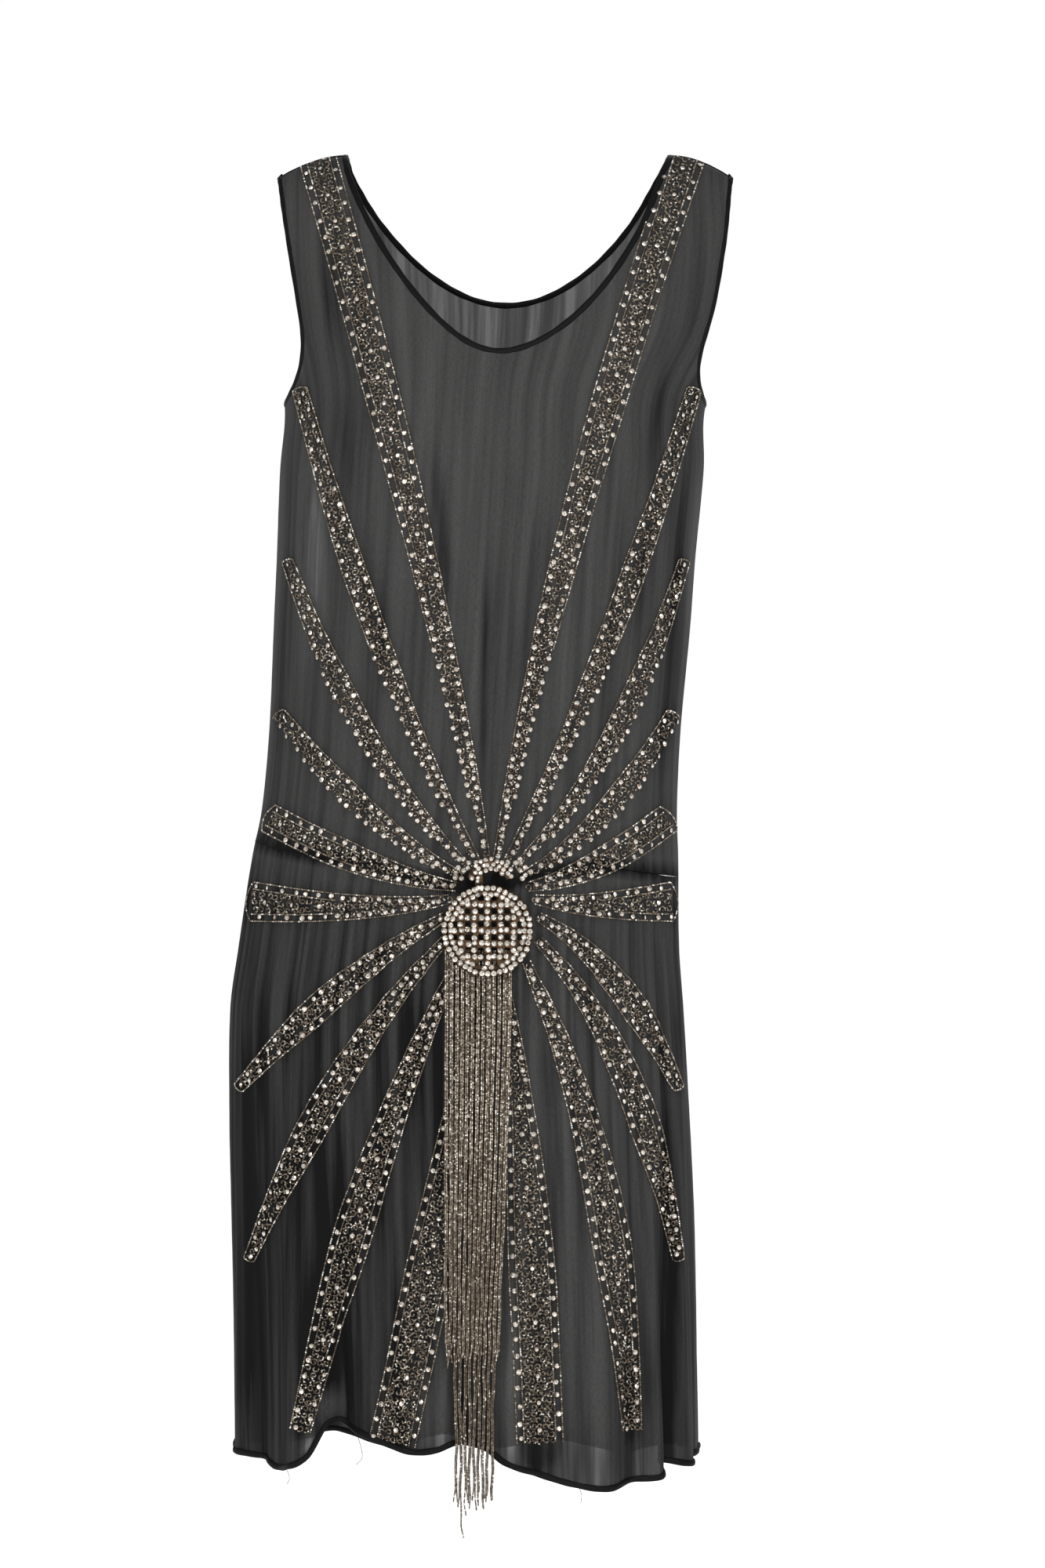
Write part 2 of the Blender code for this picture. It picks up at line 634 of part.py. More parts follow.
def hang_strand(mesh, root):
    """Draw one square strand down from its place under the heading, over the skirt, to its own end."""
    start = root.calc_center_median()
    share = (start.x - HEADING_MIDDLE) / HEADING_WIDTH
    column = int((share + 0.5) * STRANDS_ACROSS)
    behind = start.y - front_surface(HEADING_MIDDLE, HEADING_LEVEL)
    layer = int(-behind / (GATHER_ROOM + HEADING_DEPTH) * STRAND_LAYERS)
    end = strand_end(column, layer)
    levels = [level for level in STRAND_LEVELS if level > end + LAST_SPAN] + [end]
    face = root
    for level in levels:
        fall = (start.z - level) / (start.z - FOOT_LEVEL)
        foot = FOOT_MIDDLE + share * FOOT_WIDTH
        skirt = front_surface(FOOT_MIDDLE, max(level, FRONT_HEM[0].level * MM))
        clear = skirt + behind - FOLD_ROOM * ease(2 * fall)
        target = Vector((start.x + (foot - start.x) * ease(fall), clear, level))
        middle = face.calc_center_median()
        corners = [Vector((math.copysign(STRAND / 2, vert.co.x - middle.x),
                           math.copysign(STRAND / 2, vert.co.y - middle.y), 0)) for vert in face.verts]
        face = bmesh.ops.extrude_discrete_faces(mesh, faces=[face])["faces"][0]
        for vert, corner in zip(face.verts, corners):
            vert.co = target + corner


def make_fringe():
    """Heading strip behind the medallion, with every strand drawn out of its underside."""
    mesh = bmesh.new()
    bmesh.ops.create_grid(mesh, x_segments=STRANDS_ACROSS, y_segments=STRAND_LAYERS, size=1)
    back_face = front_surface(HEADING_MIDDLE, HEADING_LEVEL) - GATHER_ROOM
    for vert in mesh.verts:
        across = HEADING_MIDDLE + vert.co.x * HEADING_WIDTH / 2
        vert.co = (across, back_face - HEADING_DEPTH * (1 - vert.co.y) / 2, HEADING_LEVEL)
    block = bmesh.ops.extrude_face_region(mesh, geom=mesh.faces[:])
    lowered = [item for item in block["geom"] if isinstance(item, bmesh.types.BMVert)]
    bmesh.ops.translate(mesh, verts=lowered, vec=(0, 0, -HEADING_HEIGHT))
    roots = [item for item in block["geom"] if isinstance(item, bmesh.types.BMFace)]
    bmesh.ops.recalc_face_normals(mesh, faces=mesh.faces)
    space = (HEADING_DEPTH / STRAND_LAYERS - STRAND) / 2
    bmesh.ops.inset_individual(mesh, faces=roots, thickness=space)
    for root in roots:
        hang_strand(mesh, root)
    bmesh.ops.recalc_face_normals(mesh, faces=mesh.faces)
    return mesh_object("bead_fringe", mesh)


# ---- finish ----
def paint(item, finish):
    material = bpy.data.materials.new(finish.name)
    material.use_nodes = True
    shader = material.node_tree.nodes["Principled BSDF"]
    shader.inputs["Base Color"].default_value = (*finish.rgb, 1)
    shader.inputs["Roughness"].default_value = finish.roughness
    shader.inputs["Metallic"].default_value = finish.metallic
    item.data.materials.clear()
    item.data.materials.append(material)


def build():
    for item in list(bpy.data.objects):
        bpy.data.objects.remove(item, do_unlink=True)
    parts = bpy.data.collections.new("flapper_dress")
    cutters = bpy.data.collections.new("cutters")
    bpy.context.scene.collection.children.link(parts)
    bpy.context.scene.collection.children.link(cutters)

    edges = {}
    for side, word in ((FRONT, "front"), (BACK, "back")):
        bodice, edges[side] = grid_panel(word + "_bodice", YOKE_ROWS + BODY_ROWS, bodice_place(side),
                                         bodice_keep, side)
        skirt = grid_panel(word + "_skirt", SKIRT_ROWS + 2, skirt_place(side), keep_all, side)[0]
        for panel in (bodice, skirt):
            parts.objects.link(panel)
            paint(panel, CHIFFON)

    neck = neck_points(edges[FRONT], edges[BACK])
    bindings = [binding("neck_binding", neck, towards_neck)]
    for sign, word in ((-1, "right"), (1, "left")):
        points = armhole_points(edges[FRONT], edges[BACK], sign)
        bindings.append(binding(word + "_armhole_binding", points, towards_arm))
    for item in bindings:
        parts.objects.link(item)
        paint(item, SILK)

    medallion = make_medallion(parts, cutters)
    paint(medallion, SETTING_METAL)
    fringe = make_fringe()
    parts.objects.link(fringe)
    paint(fringe, BEADS)


build()
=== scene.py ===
"""Flapper dress of sheer black silk chiffon in its worn form, with rays of beads and stones.

Metres, +Z up, the front faces -Y, the wearer's left is +X. The origin lies midway between the
shoulder seams. Front and back are made alike, from the same functions and tables.
"""
import math
from collections import namedtuple

import bmesh
import bpy
import numpy as np
from mathutils import Matrix, Vector
from mathutils.bvhtree import BVHTree
from mathutils.kdtree import KDTree


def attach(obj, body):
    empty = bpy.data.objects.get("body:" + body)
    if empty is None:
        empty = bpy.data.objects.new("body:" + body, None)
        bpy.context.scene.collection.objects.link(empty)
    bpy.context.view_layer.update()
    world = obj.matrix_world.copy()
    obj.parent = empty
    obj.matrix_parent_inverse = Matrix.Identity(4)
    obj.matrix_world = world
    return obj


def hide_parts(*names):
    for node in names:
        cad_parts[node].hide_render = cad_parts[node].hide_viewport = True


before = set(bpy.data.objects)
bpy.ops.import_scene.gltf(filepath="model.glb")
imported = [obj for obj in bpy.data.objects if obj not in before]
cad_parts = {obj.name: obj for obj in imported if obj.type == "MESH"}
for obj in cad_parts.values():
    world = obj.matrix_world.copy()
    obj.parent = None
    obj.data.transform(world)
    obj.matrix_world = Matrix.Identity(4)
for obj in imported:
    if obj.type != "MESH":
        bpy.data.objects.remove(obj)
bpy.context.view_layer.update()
MM = 0.001


# ---- camera ----
# A long lens, five metres in front and level with the waist of the dress.
VIEW_POINT = Vector((0.017, -5.0, -0.512))
VIEW_HEIGHT = 1.28
SENSOR = 36
camera = bpy.data.objects.new("camera", bpy.data.cameras.new("camera"))
camera.data.sensor_width = SENSOR
camera.data.lens = SENSOR * -VIEW_POINT.y / VIEW_HEIGHT
camera.location = VIEW_POINT
camera.rotation_euler = (math.radians(90), 0, 0)
bpy.context.collection.objects.link(camera)
bpy.context.scene.camera = camera


# ---- bodice, front and back ----
# Two panels of silk chiffon, each cut in one with its straps, seamed at the shoulders and sides.
# The silk is thin and slubby, hangs straight from the shoulders, and drags softly towards the hips.
FRONT, BACK = -1, 1
SIDES = ((FRONT, "front"), (BACK, "back"))
SEAM_GAP = 0.3 * MM
CLOTH_LIFT = 0.5 * MM          # the silk lies in the middle of its one millimetre wall


def table(columns, *rows):
    return [columns(*row) for row in rows]


Section = namedtuple("Section", "level middle half_width corner")
SECTIONS = table(
    Section, (0, 5, 205, 2.0), (-18, 3, 205, 2.0), (-75, 4, 205, 2.0), (-140, 3, 195, 2.0),
    (-200, -5, 171.5, 2.1), (-256, -8, 172, 2.2), (-325, -12.6, 170, 2.3), (-387, -16.3, 169, 2.3),
    (-466, -21.7, 167, 2.3), (-532, -26.3, 168.5, 2.3), (-572, -29.8, 173, 2.3), (-646, -35, 179, 2.3),
    (-694, -36.6, 184, 2.3), (-785, -34.4, 187, 2.3), (-861, -31.8, 188, 2.3), (-947, -30, 188, 2.3),
    (-1080, -28.6, 188, 2.3),
)
Depth = namedtuple("Depth", "drop front back")
DEPTHS = table(
    Depth, (0, 0, 0), (15, 38, 35), (40, 60, 57), (80, 82, 78), (130, 103, 95), (190, 120, 105),
    (250, 126, 107), (400, 124, 100), (560, 122, 108), (700, 128, 118), (900, 134, 124), (1080, 140, 130),
)
Edge = namedtuple("Edge", "across level")
HIP_SEAM = {
    FRONT: table(
        Edge, (-1, -559), (-0.86, -564), (-0.68, -570), (-0.38, -578), (-0.2, -587), (0.1, -600), (0.26, -589),
        (0.38, -583), (0.6, -579), (0.83, -583), (1, -588),
    ),
    BACK: table(
        Edge, (-1, -559), (-0.5, -571), (0.1, -588), (0.6, -584), (1, -588),
    ),
}
NECK_HALF = 134 * MM
SHOULDER_HALF = 183 * MM
SHOULDER_FALL = 17 * MM
SHOULDER_ROUND = 1.8
ARMHOLE_HALF = 163.5 * MM
ARMHOLE_SIDE = -140 * MM
ARMHOLE_REACH = 64 * MM
NECK_ROUND = 0.87
SCOOP = {FRONT: 168 * MM, BACK: 116 * MM}
YOKE_MIDDLE = -240 * MM
YOKE_ROUND = 2.2
SHOULDER_CROWDING = 1.9
HALF_COLUMNS, NECK_COLUMN, STRAP_COLUMN = 28, 15, 23
YOKE_ROWS, BODY_ROWS = 6, 8
YOKE_HALF, CHEST_HALF = 205, 195   # half widths of the form at the shoulders and at the armholes
NECK_TURN = math.asin(NECK_HALF / (YOKE_HALF * MM))
SHOULDER_TURN = math.asin(SHOULDER_HALF / (YOKE_HALF * MM))
ARMHOLE_TURN = math.asin(ARMHOLE_HALF / (CHEST_HALF * MM))
SIDE_TURN = math.radians(90)


def ease(amount):
    amount = np.clip(amount, 0, 1)
    return amount * amount * (3 - 2 * amount)


def smooth_through(places, values, at):
    """Smooth curve through points whose places rise, flat beyond both ends."""
    places, values = np.asarray(places, float), np.asarray(values, float)
    order = np.argsort(places)
    places, values = places[order], values[order]
    count = len(places)
    low = np.maximum(np.arange(count) - 1, 0)
    high = np.minimum(np.arange(count) + 1, count - 1)
    slopes = (values[high] - values[low]) / (places[high] - places[low])
    at = np.clip(at, places[0], places[-1])
    index = np.clip(np.searchsorted(places, at, side="right") - 1, 0, count - 2)
    span = places[index + 1] - places[index]
    t = (at - places[index]) / span
    return (values[index] * (1 + 2 * t) * (1 - t) ** 2 + values[index + 1] * t * t * (3 - 2 * t)
            + span * (slopes[index] * t * (1 - t) ** 2 - slopes[index + 1] * t * t * (1 - t)))


def section(value, level, scale=MM):
    """The form's middle, half width or corner at a level."""
    return smooth_through([row.level * MM for row in SECTIONS],
                          [getattr(row, value) * scale for row in SECTIONS], level)


def turn_at(across, level):
    """The angle at which the form is so far across."""
    return np.arcsin(np.clip((across - section("middle", level)) / section("half_width", level), -1, 1))


def unit(vectors):
    return vectors / np.maximum(np.linalg.norm(vectors, axis=-1, keepdims=True), 1e-12)


def edge_level(edges, turn):
    return smooth_through([edge.across for edge in edges], [edge.level * MM for edge in edges], np.sin(turn))


def shoulder_line(across):
    beyond = np.maximum(0, np.abs(across) - NECK_HALF) / (SHOULDER_HALF - NECK_HALF)
    return -SHOULDER_FALL * beyond ** SHOULDER_ROUND


def worn_form(side, turn, level, out=0.0):
    """Points of the worn dress at these angles and levels, moved out by so much."""
    turn, level, out = np.broadcast_arrays(np.asarray(turn, float), level, out)
    sine = np.sin(turn)
    half_width = section("half_width", level)
    corner = section("corner", level, 1)
    across = half_width * sine
    drop = np.maximum(0, shoulder_line(across) - level)
    depths = [(row.front if side == FRONT else row.back) * MM for row in DEPTHS]
    depth = smooth_through([math.sqrt(row.drop * MM) for row in DEPTHS], depths, np.sqrt(drop))
    fullness = np.maximum(0, 1 - np.abs(sine) ** corner) ** (1 / corner)
    outward = np.stack([np.sign(sine) * np.abs(sine) ** (corner - 1) / half_width,
                        side * fullness ** (corner - 1) / np.maximum(depth, MM), 0 * level], -1)
    outward /= np.linalg.norm(outward, axis=-1, keepdims=True)
    point = np.stack([section("middle", level) + across, side * (SEAM_GAP / 2 + depth * fullness), level], -1)
    return point + outward * out[..., None]


def neck_level(side, turn):
    share = np.abs(np.sin(turn)) / math.sin(NECK_TURN)
    scoop = -SCOOP[side] * np.maximum(0, 1 - share * share) ** NECK_ROUND
    return np.where(share < 1, scoop, shoulder_line(np.abs(np.sin(turn)) * YOKE_HALF * MM))


def bodice_lie(side, column, row):
    """Angle and level of a place on a bodice panel, for columns from the middle and rows from the top."""
    count = np.abs(column)
    arc = SIDE_TURN * np.clip((count - STRAP_COLUMN) / (HALF_COLUMNS - STRAP_COLUMN), 0, 1)
    strap_share = (count - NECK_COLUMN) / (STRAP_COLUMN - NECK_COLUMN)
    yoke_turn = np.select(
        [count <= NECK_COLUMN, count <= STRAP_COLUMN],
        [NECK_TURN * count / NECK_COLUMN, NECK_TURN + (ARMHOLE_TURN - NECK_TURN) * strap_share],
        SIDE_TURN - (SIDE_TURN - ARMHOLE_TURN) * np.cos(arc)) * np.sign(column)
    top_turn = np.where(count <= NECK_COLUMN, NECK_TURN * np.sin(SIDE_TURN * np.minimum(1, count / NECK_COLUMN)),
                        NECK_TURN + (SHOULDER_TURN - NECK_TURN) * strap_share) * np.sign(column)
    rise = 1 - np.minimum(1, count / STRAP_COLUMN) ** YOKE_ROUND
    yoke_level = ARMHOLE_SIDE + (YOKE_MIDDLE - ARMHOLE_SIDE) * rise - ARMHOLE_REACH * np.sin(arc)
    even_turn = SIDE_TURN * column / HALF_COLUMNS

    share = np.clip(row / YOKE_ROWS, 0, 1) ** SHOULDER_CROWDING
    upper_turn = yoke_turn + (top_turn - yoke_turn) * (1 - share) ** 2
    top = neck_level(side, top_turn)
    upper_level = top + (yoke_level - top) * share
    share = np.clip((row - YOKE_ROWS) / BODY_ROWS, 0, 1)
    lower_turn = yoke_turn + (even_turn - yoke_turn) * ease(share)
    seam = edge_level(HIP_SEAM[side], lower_turn) + SEAM_GAP / 2
    lower_level = yoke_level + (seam - yoke_level) * share
    above = row <= YOKE_ROWS
    return np.where(above, upper_turn, lower_turn), np.where(above, upper_level, lower_level)


# Soft drags and folds: angle and width in degrees, how far out (a trough is less than
# nothing), the levels between which it shows, and how far it swings sideways on its way down.
Crease = namedtuple("Crease", "turn width out top bottom swing")
BODICE_CREASES = {
    FRONT: table(
        Crease, (-71, 3.0, -1.8, -215, -560, 2), (-64, 3.4, 1.6, -230, -590, 3),
        (-56, 2.6, -1.6, -190, -470, 5), (-49, 3.2, 1.4, -90, -350, 4), (-45, 2.0, -1.5, -60, -300, 3),
        (-38, 4.0, 1.6, -250, -600, 2), (-31, 2.4, -1.7, -360, -600, 1), (-25, 3.0, 1.2, -300, -590, 0),
        (-19, 2.2, -1.5, -330, -600, 1), (-13, 2.6, 1.4, -260, -560, 1), (-7, 2.0, -1.3, -380, -600, 1),
        (-2, 2.6, 1.5, -220, -600, 2), (3.5, 1.8, -1.8, -300, -600, 2), (9, 3.0, 1.2, -240, -540, 1),
        (15, 2.2, -1.6, -350, -600, 0), (20, 3.0, 1.5, -280, -600, -1), (27, 2.0, -1.5, -420, -600, -1),
        (33, 3.6, 1.5, -200, -560, -2), (40, 2.4, -1.6, -260, -600, -2), (47, 3.2, 1.5, -100, -420, -3),
        (53, 2.2, -1.6, -80, -380, -3), (59, 3.0, 1.8, -230, -600, -2), (66, 2.4, -2.0, -215, -540, -1),
        (74, 3.2, 1.4, -230, -600, 0),
    ),
    BACK: table(
        Crease, (-73, 3.0, 1.6, -220, -600, 1), (-66, 2.6, -1.8, -220, -540, 2), (-58, 3.4, 1.6, -160, -500, 4),
        (-50, 2.4, -1.6, -100, -420, 4), (-42, 3.0, 1.5, -120, -600, 2), (-35, 2.2, -1.7, -280, -600, 1),
        (-28, 3.2, 1.5, -160, -590, 0), (-21, 2.2, -1.6, -300, -600, 0), (-14, 2.8, 1.7, -130, -560, 1),
        (-8, 2.0, -1.6, -320, -600, 0), (-1, 3.0, 1.6, -130, -600, 1), (6, 2.2, -1.8, -260, -600, 0),
        (13, 2.8, 1.4, -150, -560, -1), (19, 2.0, -1.6, -300, -600, 0), (26, 3.2, 1.6, -170, -600, 0),
        (34, 2.2, -1.6, -280, -580, -1), (41, 3.0, 1.6, -110, -600, -2), (49, 2.4, -1.7, -90, -400, -3),
        (57, 3.2, 1.6, -200, -590, -3), (65, 2.4, -1.8, -220, -560, -1), (73, 3.0, 1.5, -220, -600, 0),
    ),
}
CREASE_FADE, CREASE_FOOT = 70 * MM, 0.4
CALM_WIDTH = 9                 # degrees beside each side seam where nothing folds
SEAM_PUCKER = 0.35 * MM
SEAM_LIP = 0.9 * MM
SEAM_ALLOWANCE = 7 * MM
# The silk darkens along the hip seam: its allowance lies double there, and a painted shadow under the bodice's
# turned edge lies over it.
SEAM_SHADE, SEAM_DARK = 1.7 * MM, 0.8
# Painted shade in the troughs of creases and folds; fold flanks darken with their slope, partly as cloth seen
# aslant and partly as painted shade.
TROUGH_SHADE = 0.45
TROUGH_DEPTH = 6 * MM
SLOPE_SHADE = 0.45
THINNEST = -0.5
HIP_RADIUS = 0.19
SLOPE_STEP = math.radians(0.5)


def creases_out(creases, turn, level):
    """How far the creases stand out at each place."""
    degrees = np.degrees(turn)
    total = np.zeros_like(degrees)
    for crease in creases:
        top, bottom = crease.top * MM, crease.bottom * MM
        fall = ease((top - level) / (top - bottom))
        fade = ease((top - level) / CREASE_FADE) * ease((level - bottom) / CREASE_FADE + CREASE_FOOT)
        across = (degrees - crease.turn - crease.swing * fall) / crease.width
        total += crease.out * MM * np.exp(-across ** 2) * fade
    return total


def bodice_out(side, turn, level):
    """Creases, and the turned lower edge that the seam puckers."""
    calm = ease((90 - np.abs(np.degrees(turn))) / CALM_WIDTH)
    sink = FALL_DEPTH * soft_falls(worn_form(side, turn, level)[..., 0], level)
    seam = edge_level(HIP_SEAM[side], turn)
    near_seam = ease(1 - (level - seam) / SEAM_ALLOWANCE)
    pucker = SEAM_PUCKER * np.sin(np.degrees(turn) * 3.7 + 2 * np.sin(turn * 9))
    return (creases_out(BODICE_CREASES[side], turn, level) - sink + near_seam * (SEAM_LIP + pucker)) * calm


# Where the cloth is drawn together or lies double it looks black, and where it is a single stretched layer it looks
# thin: places on the flat pattern, and long soft folds between two places. The dark is partly painted shade: black
# shade in the gathers beside the medallion, along the fold beside the fringe and in the long soft folds, and the
# broad darker patches on the skirt, the bodice's sides and along the hem are partly cloth lying double, partly
# painted shade.
Drawn = namedtuple("Drawn", "across level width height much")
DRAWN_AND_SHADED = table(
    Drawn, (-31, -588, 11, 9.5, 1.5), (1.5, -590, 11, 6.5, 1.5), (-180, -900, 80, 240, 0.42),
    (-75, -760, 30, 120, 0.2), (-205, -740, 18, 130, 0.3), (-49, -690, 5, 100, 0.5),
    (-110, -880, 75, 190, 0.22), (20, -1052, 150, 26, 0.2), (-150, -330, 34, 190, 0.25),
    (165, -350, 28, 260, 0.3), (140, -880, 16, 170, 0.4), (-152, -325, 10, 78, -1.25),
    (-184, -300, 8, 60, -0.8), (158, -335, 9, 60, -1.0), (-136, -1007, 12, 15, -1.0),
    (-60, -1006, 12, 34, -0.35), (9, -1000, 5, 48, -1.1), (-154, -1037, 5, 12, -0.8),
)
Fall = namedtuple("Fall", "across top lower_across bottom width much")
SOFT_FALLS = table(
    Fall, (-147, -30, -132, -190, 7, 0.5), (-132, -170, -122, -300, 8, 0.35), (-122, -280, -78, -460, 9, 0.4),
    (-56, -225, -38, -400, 5.5, 0.7), (-39, -390, -28, -490, 4.5, 0.5), (-11.5, -310, -15, -545, 3.2, 0.75),
    (13, -340, 6, -480, 4.5, 0.5), (34, -265, 14, -450, 6, 0.4), (-24, -330, -22, -420, 3, -0.2),
    (136, -130, 113, -300, 7, 0.5), (114, -280, 106, -440, 5, 0.5), (150, -240, 130, -530, 8, 0.5),
    (-76, -655, -70, -790, 10, 0.5), (-53, -655, -50, -870, 4.5, 0.7), (5, -760, 11, -910, 5, 0.6),
    (-207, -690, -213, -1045, 11, 0.5), (121, -930, 122, -1050, 9, 0.5), (138, -660, 146, -770, 7, 0.6),
    (-127, -840, -125, -965, 4.5, 0.6), (-151, -890, -152, -1010, 4.5, 0.5), (-98, -770, -94, -900, 4, 0.5),
    (-166, -640, -172, -760, 4, 0.4), (-140, -650, -148, -770, 4.5, 0.4), (31, -660, 40, -800, 5, 0.35),
    (66, -800, 62, -900, 5, 0.3), (100, -930, 104, -1060, 5, 0.35),
)
FALL_FADE = 75 * MM
FALL_DEPTH = 1.2 * MM
FALL_SHADE = 0.7


def soft_falls(across, level):
    """How strongly the long soft folds show at each place."""
    total = np.zeros_like(across)
    for fall in SOFT_FALLS:
        top, bottom = fall.top * MM, fall.bottom * MM
        share = np.clip((top - level) / (top - bottom), 0, 1)
        middle = (fall.across + (fall.lower_across - fall.across) * share) * MM
        fade = ease((top - level) / FALL_FADE) * ease((level - bottom) / FALL_FADE)
        total += fall.much * fade * np.exp(-((across - middle) / (fall.width * MM)) ** 2)
    return total


# Painted shade of the soft folds and the spots, together with cloth drawn together and lying double; below nothing
# it thins the silk.
def drawn_and_shaded(across, level):
    total = FALL_SHADE * soft_falls(across, level)
    for spot in DRAWN_AND_SHADED:
        total += spot.much * np.exp(-((across - spot.across * MM) / (spot.width * MM)) ** 2
                                    - ((level - spot.level * MM) / (spot.height * MM)) ** 2)
    return total


def mesh_piece(name, shape, *materials):
    """A new object with the form of a bmesh, which is used up."""
    data = bpy.data.meshes.new(name)
    shape.to_mesh(data)
    shape.free()
    for material in materials:
        data.materials.append(material)
    piece = bpy.data.objects.new(name, data)
    bpy.context.collection.objects.link(piece)
    return piece


def silk_panel(name, side, fineness, rows, lie, out, streaks, keep=None):
    """A panel of silk: a fine grid laid on the worn form, with its own UV map, streaks, and a fullness that holds
    painted shade too.
    """
    cloth = bmesh.new()
    bmesh.ops.create_grid(cloth, x_segments=2 * HALF_COLUMNS * fineness, y_segments=rows * fineness, size=1)
    flat = np.array([vert.co for vert in cloth.verts])
    column, row = flat[:, 0] * HALF_COLUMNS, (1 - flat[:, 1]) / 2 * rows
    turn, level = lie(side, column, row)
    stand_out = out(side, turn, level)
    rise = out(side, turn + SLOPE_STEP, level) - out(side, turn - SLOPE_STEP, level)
    slope = rise / (2 * SLOPE_STEP * HIP_RADIUS)
    points = worn_form(side, turn, level, CLOTH_LIFT + stand_out)
    for vert, point in zip(cloth.verts, points):
        vert.co = point
    cloth.verts.index_update()
    dropped = {face for face in cloth.faces if keep and not keep(
        *(np.mean([places[vert.index] for vert in face.verts]) for places in (column, row)))}
    remaining = [vert.index for vert in cloth.verts if not dropped.issuperset(vert.link_faces)]
    bmesh.ops.delete(cloth, geom=list(dropped), context="FACES")
    if side == BACK:
        bmesh.ops.reverse_faces(cloth, faces=cloth.faces)
    for face in cloth.faces:
        face.smooth = True
    panel = mesh_piece(name, cloth, CHIFFON)
    data = panel.data
    fullness = data.attributes.new("fullness", "FLOAT", "POINT")
    # Fullness darkens and closes the silk: painted shade in crease and fold troughs, on fold flanks by their slope,
    # along the hip seam and in the soft folds and spots, with cloth lying double.
    trough = TROUGH_SHADE * np.tanh(np.maximum(0, -stand_out) / TROUGH_DEPTH)
    seam = SEAM_DARK * np.exp(-((level - edge_level(HIP_SEAM[side], turn)) / SEAM_SHADE) ** 2)
    full = SLOPE_SHADE * np.abs(slope) + trough + drawn_and_shaded(points[:, 0], level) + seam
    fullness.data.foreach_set("value", np.clip(full[remaining], THINNEST, 1))
    streak = data.attributes.new("streaks", "FLOAT", "POINT")
    streak.data.foreach_set("value", (streaks + 0 * level)[remaining])
    around = np.stack([turn * HIP_RADIUS, level], -1)[remaining]
    corners = np.empty(len(data.loops), int)
    data.loops.foreach_get("vertex_index", corners)
    data.uv_layers.new(name="cloth").data.foreach_set("uv", around[corners].ravel())
    return panel


def feed(tree, node, inputs):
    """Gives a node its inputs, by name or number: values, or sockets of other nodes."""
    for key, value in inputs.items():
        if isinstance(value, bpy.types.NodeSocket):
            tree.links.new(value, node.inputs[key])
        else:
            node.inputs[key].default_value = value


def wired(tree, kind, out, inputs={}, **settings):
    """A new node with its settings and inputs; what comes back is its socket named out."""
    node = tree.nodes.new("ShaderNode" + kind)
    for key, value in settings.items():
        setattr(node, key, value)
    feed(tree, node, inputs)
    return node.outputs[out]


def sums(tree, operation, *values):
    return wired(tree, "Math", "Value", dict(enumerate(values)), operation=operation)


def ramp(tree, amount, steps):
    """A colour that runs with an amount; each step is its place and its colour."""
    node = tree.nodes.new("ShaderNodeValToRGB")
    while len(node.color_ramp.elements) < len(steps):
        node.color_ramp.elements.new(0.5)
    for element, (position, colour) in zip(node.color_ramp.elements, steps):
        element.position = position
        element.color = (*colour, 1)
    feed(tree, node, {"Fac": amount})
    return node.outputs["Color"]


def new_group(name, taken, given):
    """A node group, the sockets that it takes and the node that it gives its result to."""
    group = bpy.data.node_groups.new(name, "ShaderNodeTree")
    for label, way in [(label, "INPUT") for label in taken] + [(given, "OUTPUT")]:
        group.interface.new_socket(name=label, in_out=way, socket_type="NodeSocketFloat")
    return group, group.nodes.new("NodeGroupInput").outputs, group.nodes.new("NodeGroupOutput")


def new_material(name, inputs):
    """A material, its node tree and its shader with these inputs."""
    material = bpy.data.materials.new(name)
    material.use_nodes = True
    shader = material.node_tree.nodes["Principled BSDF"]
    feed(material.node_tree, shader, inputs)
    return material, material.node_tree, shader


def thread_noise(tree, stretch, scale, detail, roughness=0.5):
    """Noise drawn out along the threads, on the cloth's own UV map."""
    uv = wired(tree, "UVMap", "UV", uv_map="cloth")
    along = wired(tree, "Mapping", "Vector", {"Vector": uv, "Scale": stretch})
    return wired(tree, "TexNoise", "Fac",
                 {"Vector": along, "Scale": scale, "Detail": detail, "Roughness": roughness})


def cloth_grain():
    """Slubs of a thin weave: uneven threads both ways."""
    group, take, give = new_group("cloth grain", ["Thread Size"], "Grain")
    total = sums(group, "ADD", *(thread_noise(group, stretch, take["Thread Size"], 2)
                                 for stretch in ((1, 0.13, 1), (0.2, 1, 1))))
    feed(group, give, {"Grain": wired(group, "MapRange", "Result",
                                      {"Value": total, "From Min": 0.75, "From Max": 1.25})})
    return group


EDGE_ON = 0.12                 # cloth seen edge on is taken to be no thinner than this
FULL_LAYERS = 1.6              # layers that the fullest cloth has more than a single one


def sheer_cover():
    """How much a sheer cloth covers: more where it is full, painted shade in its fullness included, and more where
    it is seen aslant.
    """
    group, take, give = new_group("sheer cover", ["Fullness", "Gap Share", "Facing"], "Cover")
    straight = sums(group, "MAXIMUM", sums(group, "SUBTRACT", 1.0, take["Facing"]), EDGE_ON)
    layers = sums(group, "DIVIDE", sums(group, "MULTIPLY_ADD", take["Fullness"], FULL_LAYERS, 1.0), straight)
    seen_through = sums(group, "POWER", take["Gap Share"], layers)
    feed(group, give, {"Cover": sums(group, "SUBTRACT", 1.0, seen_through)})
    return group


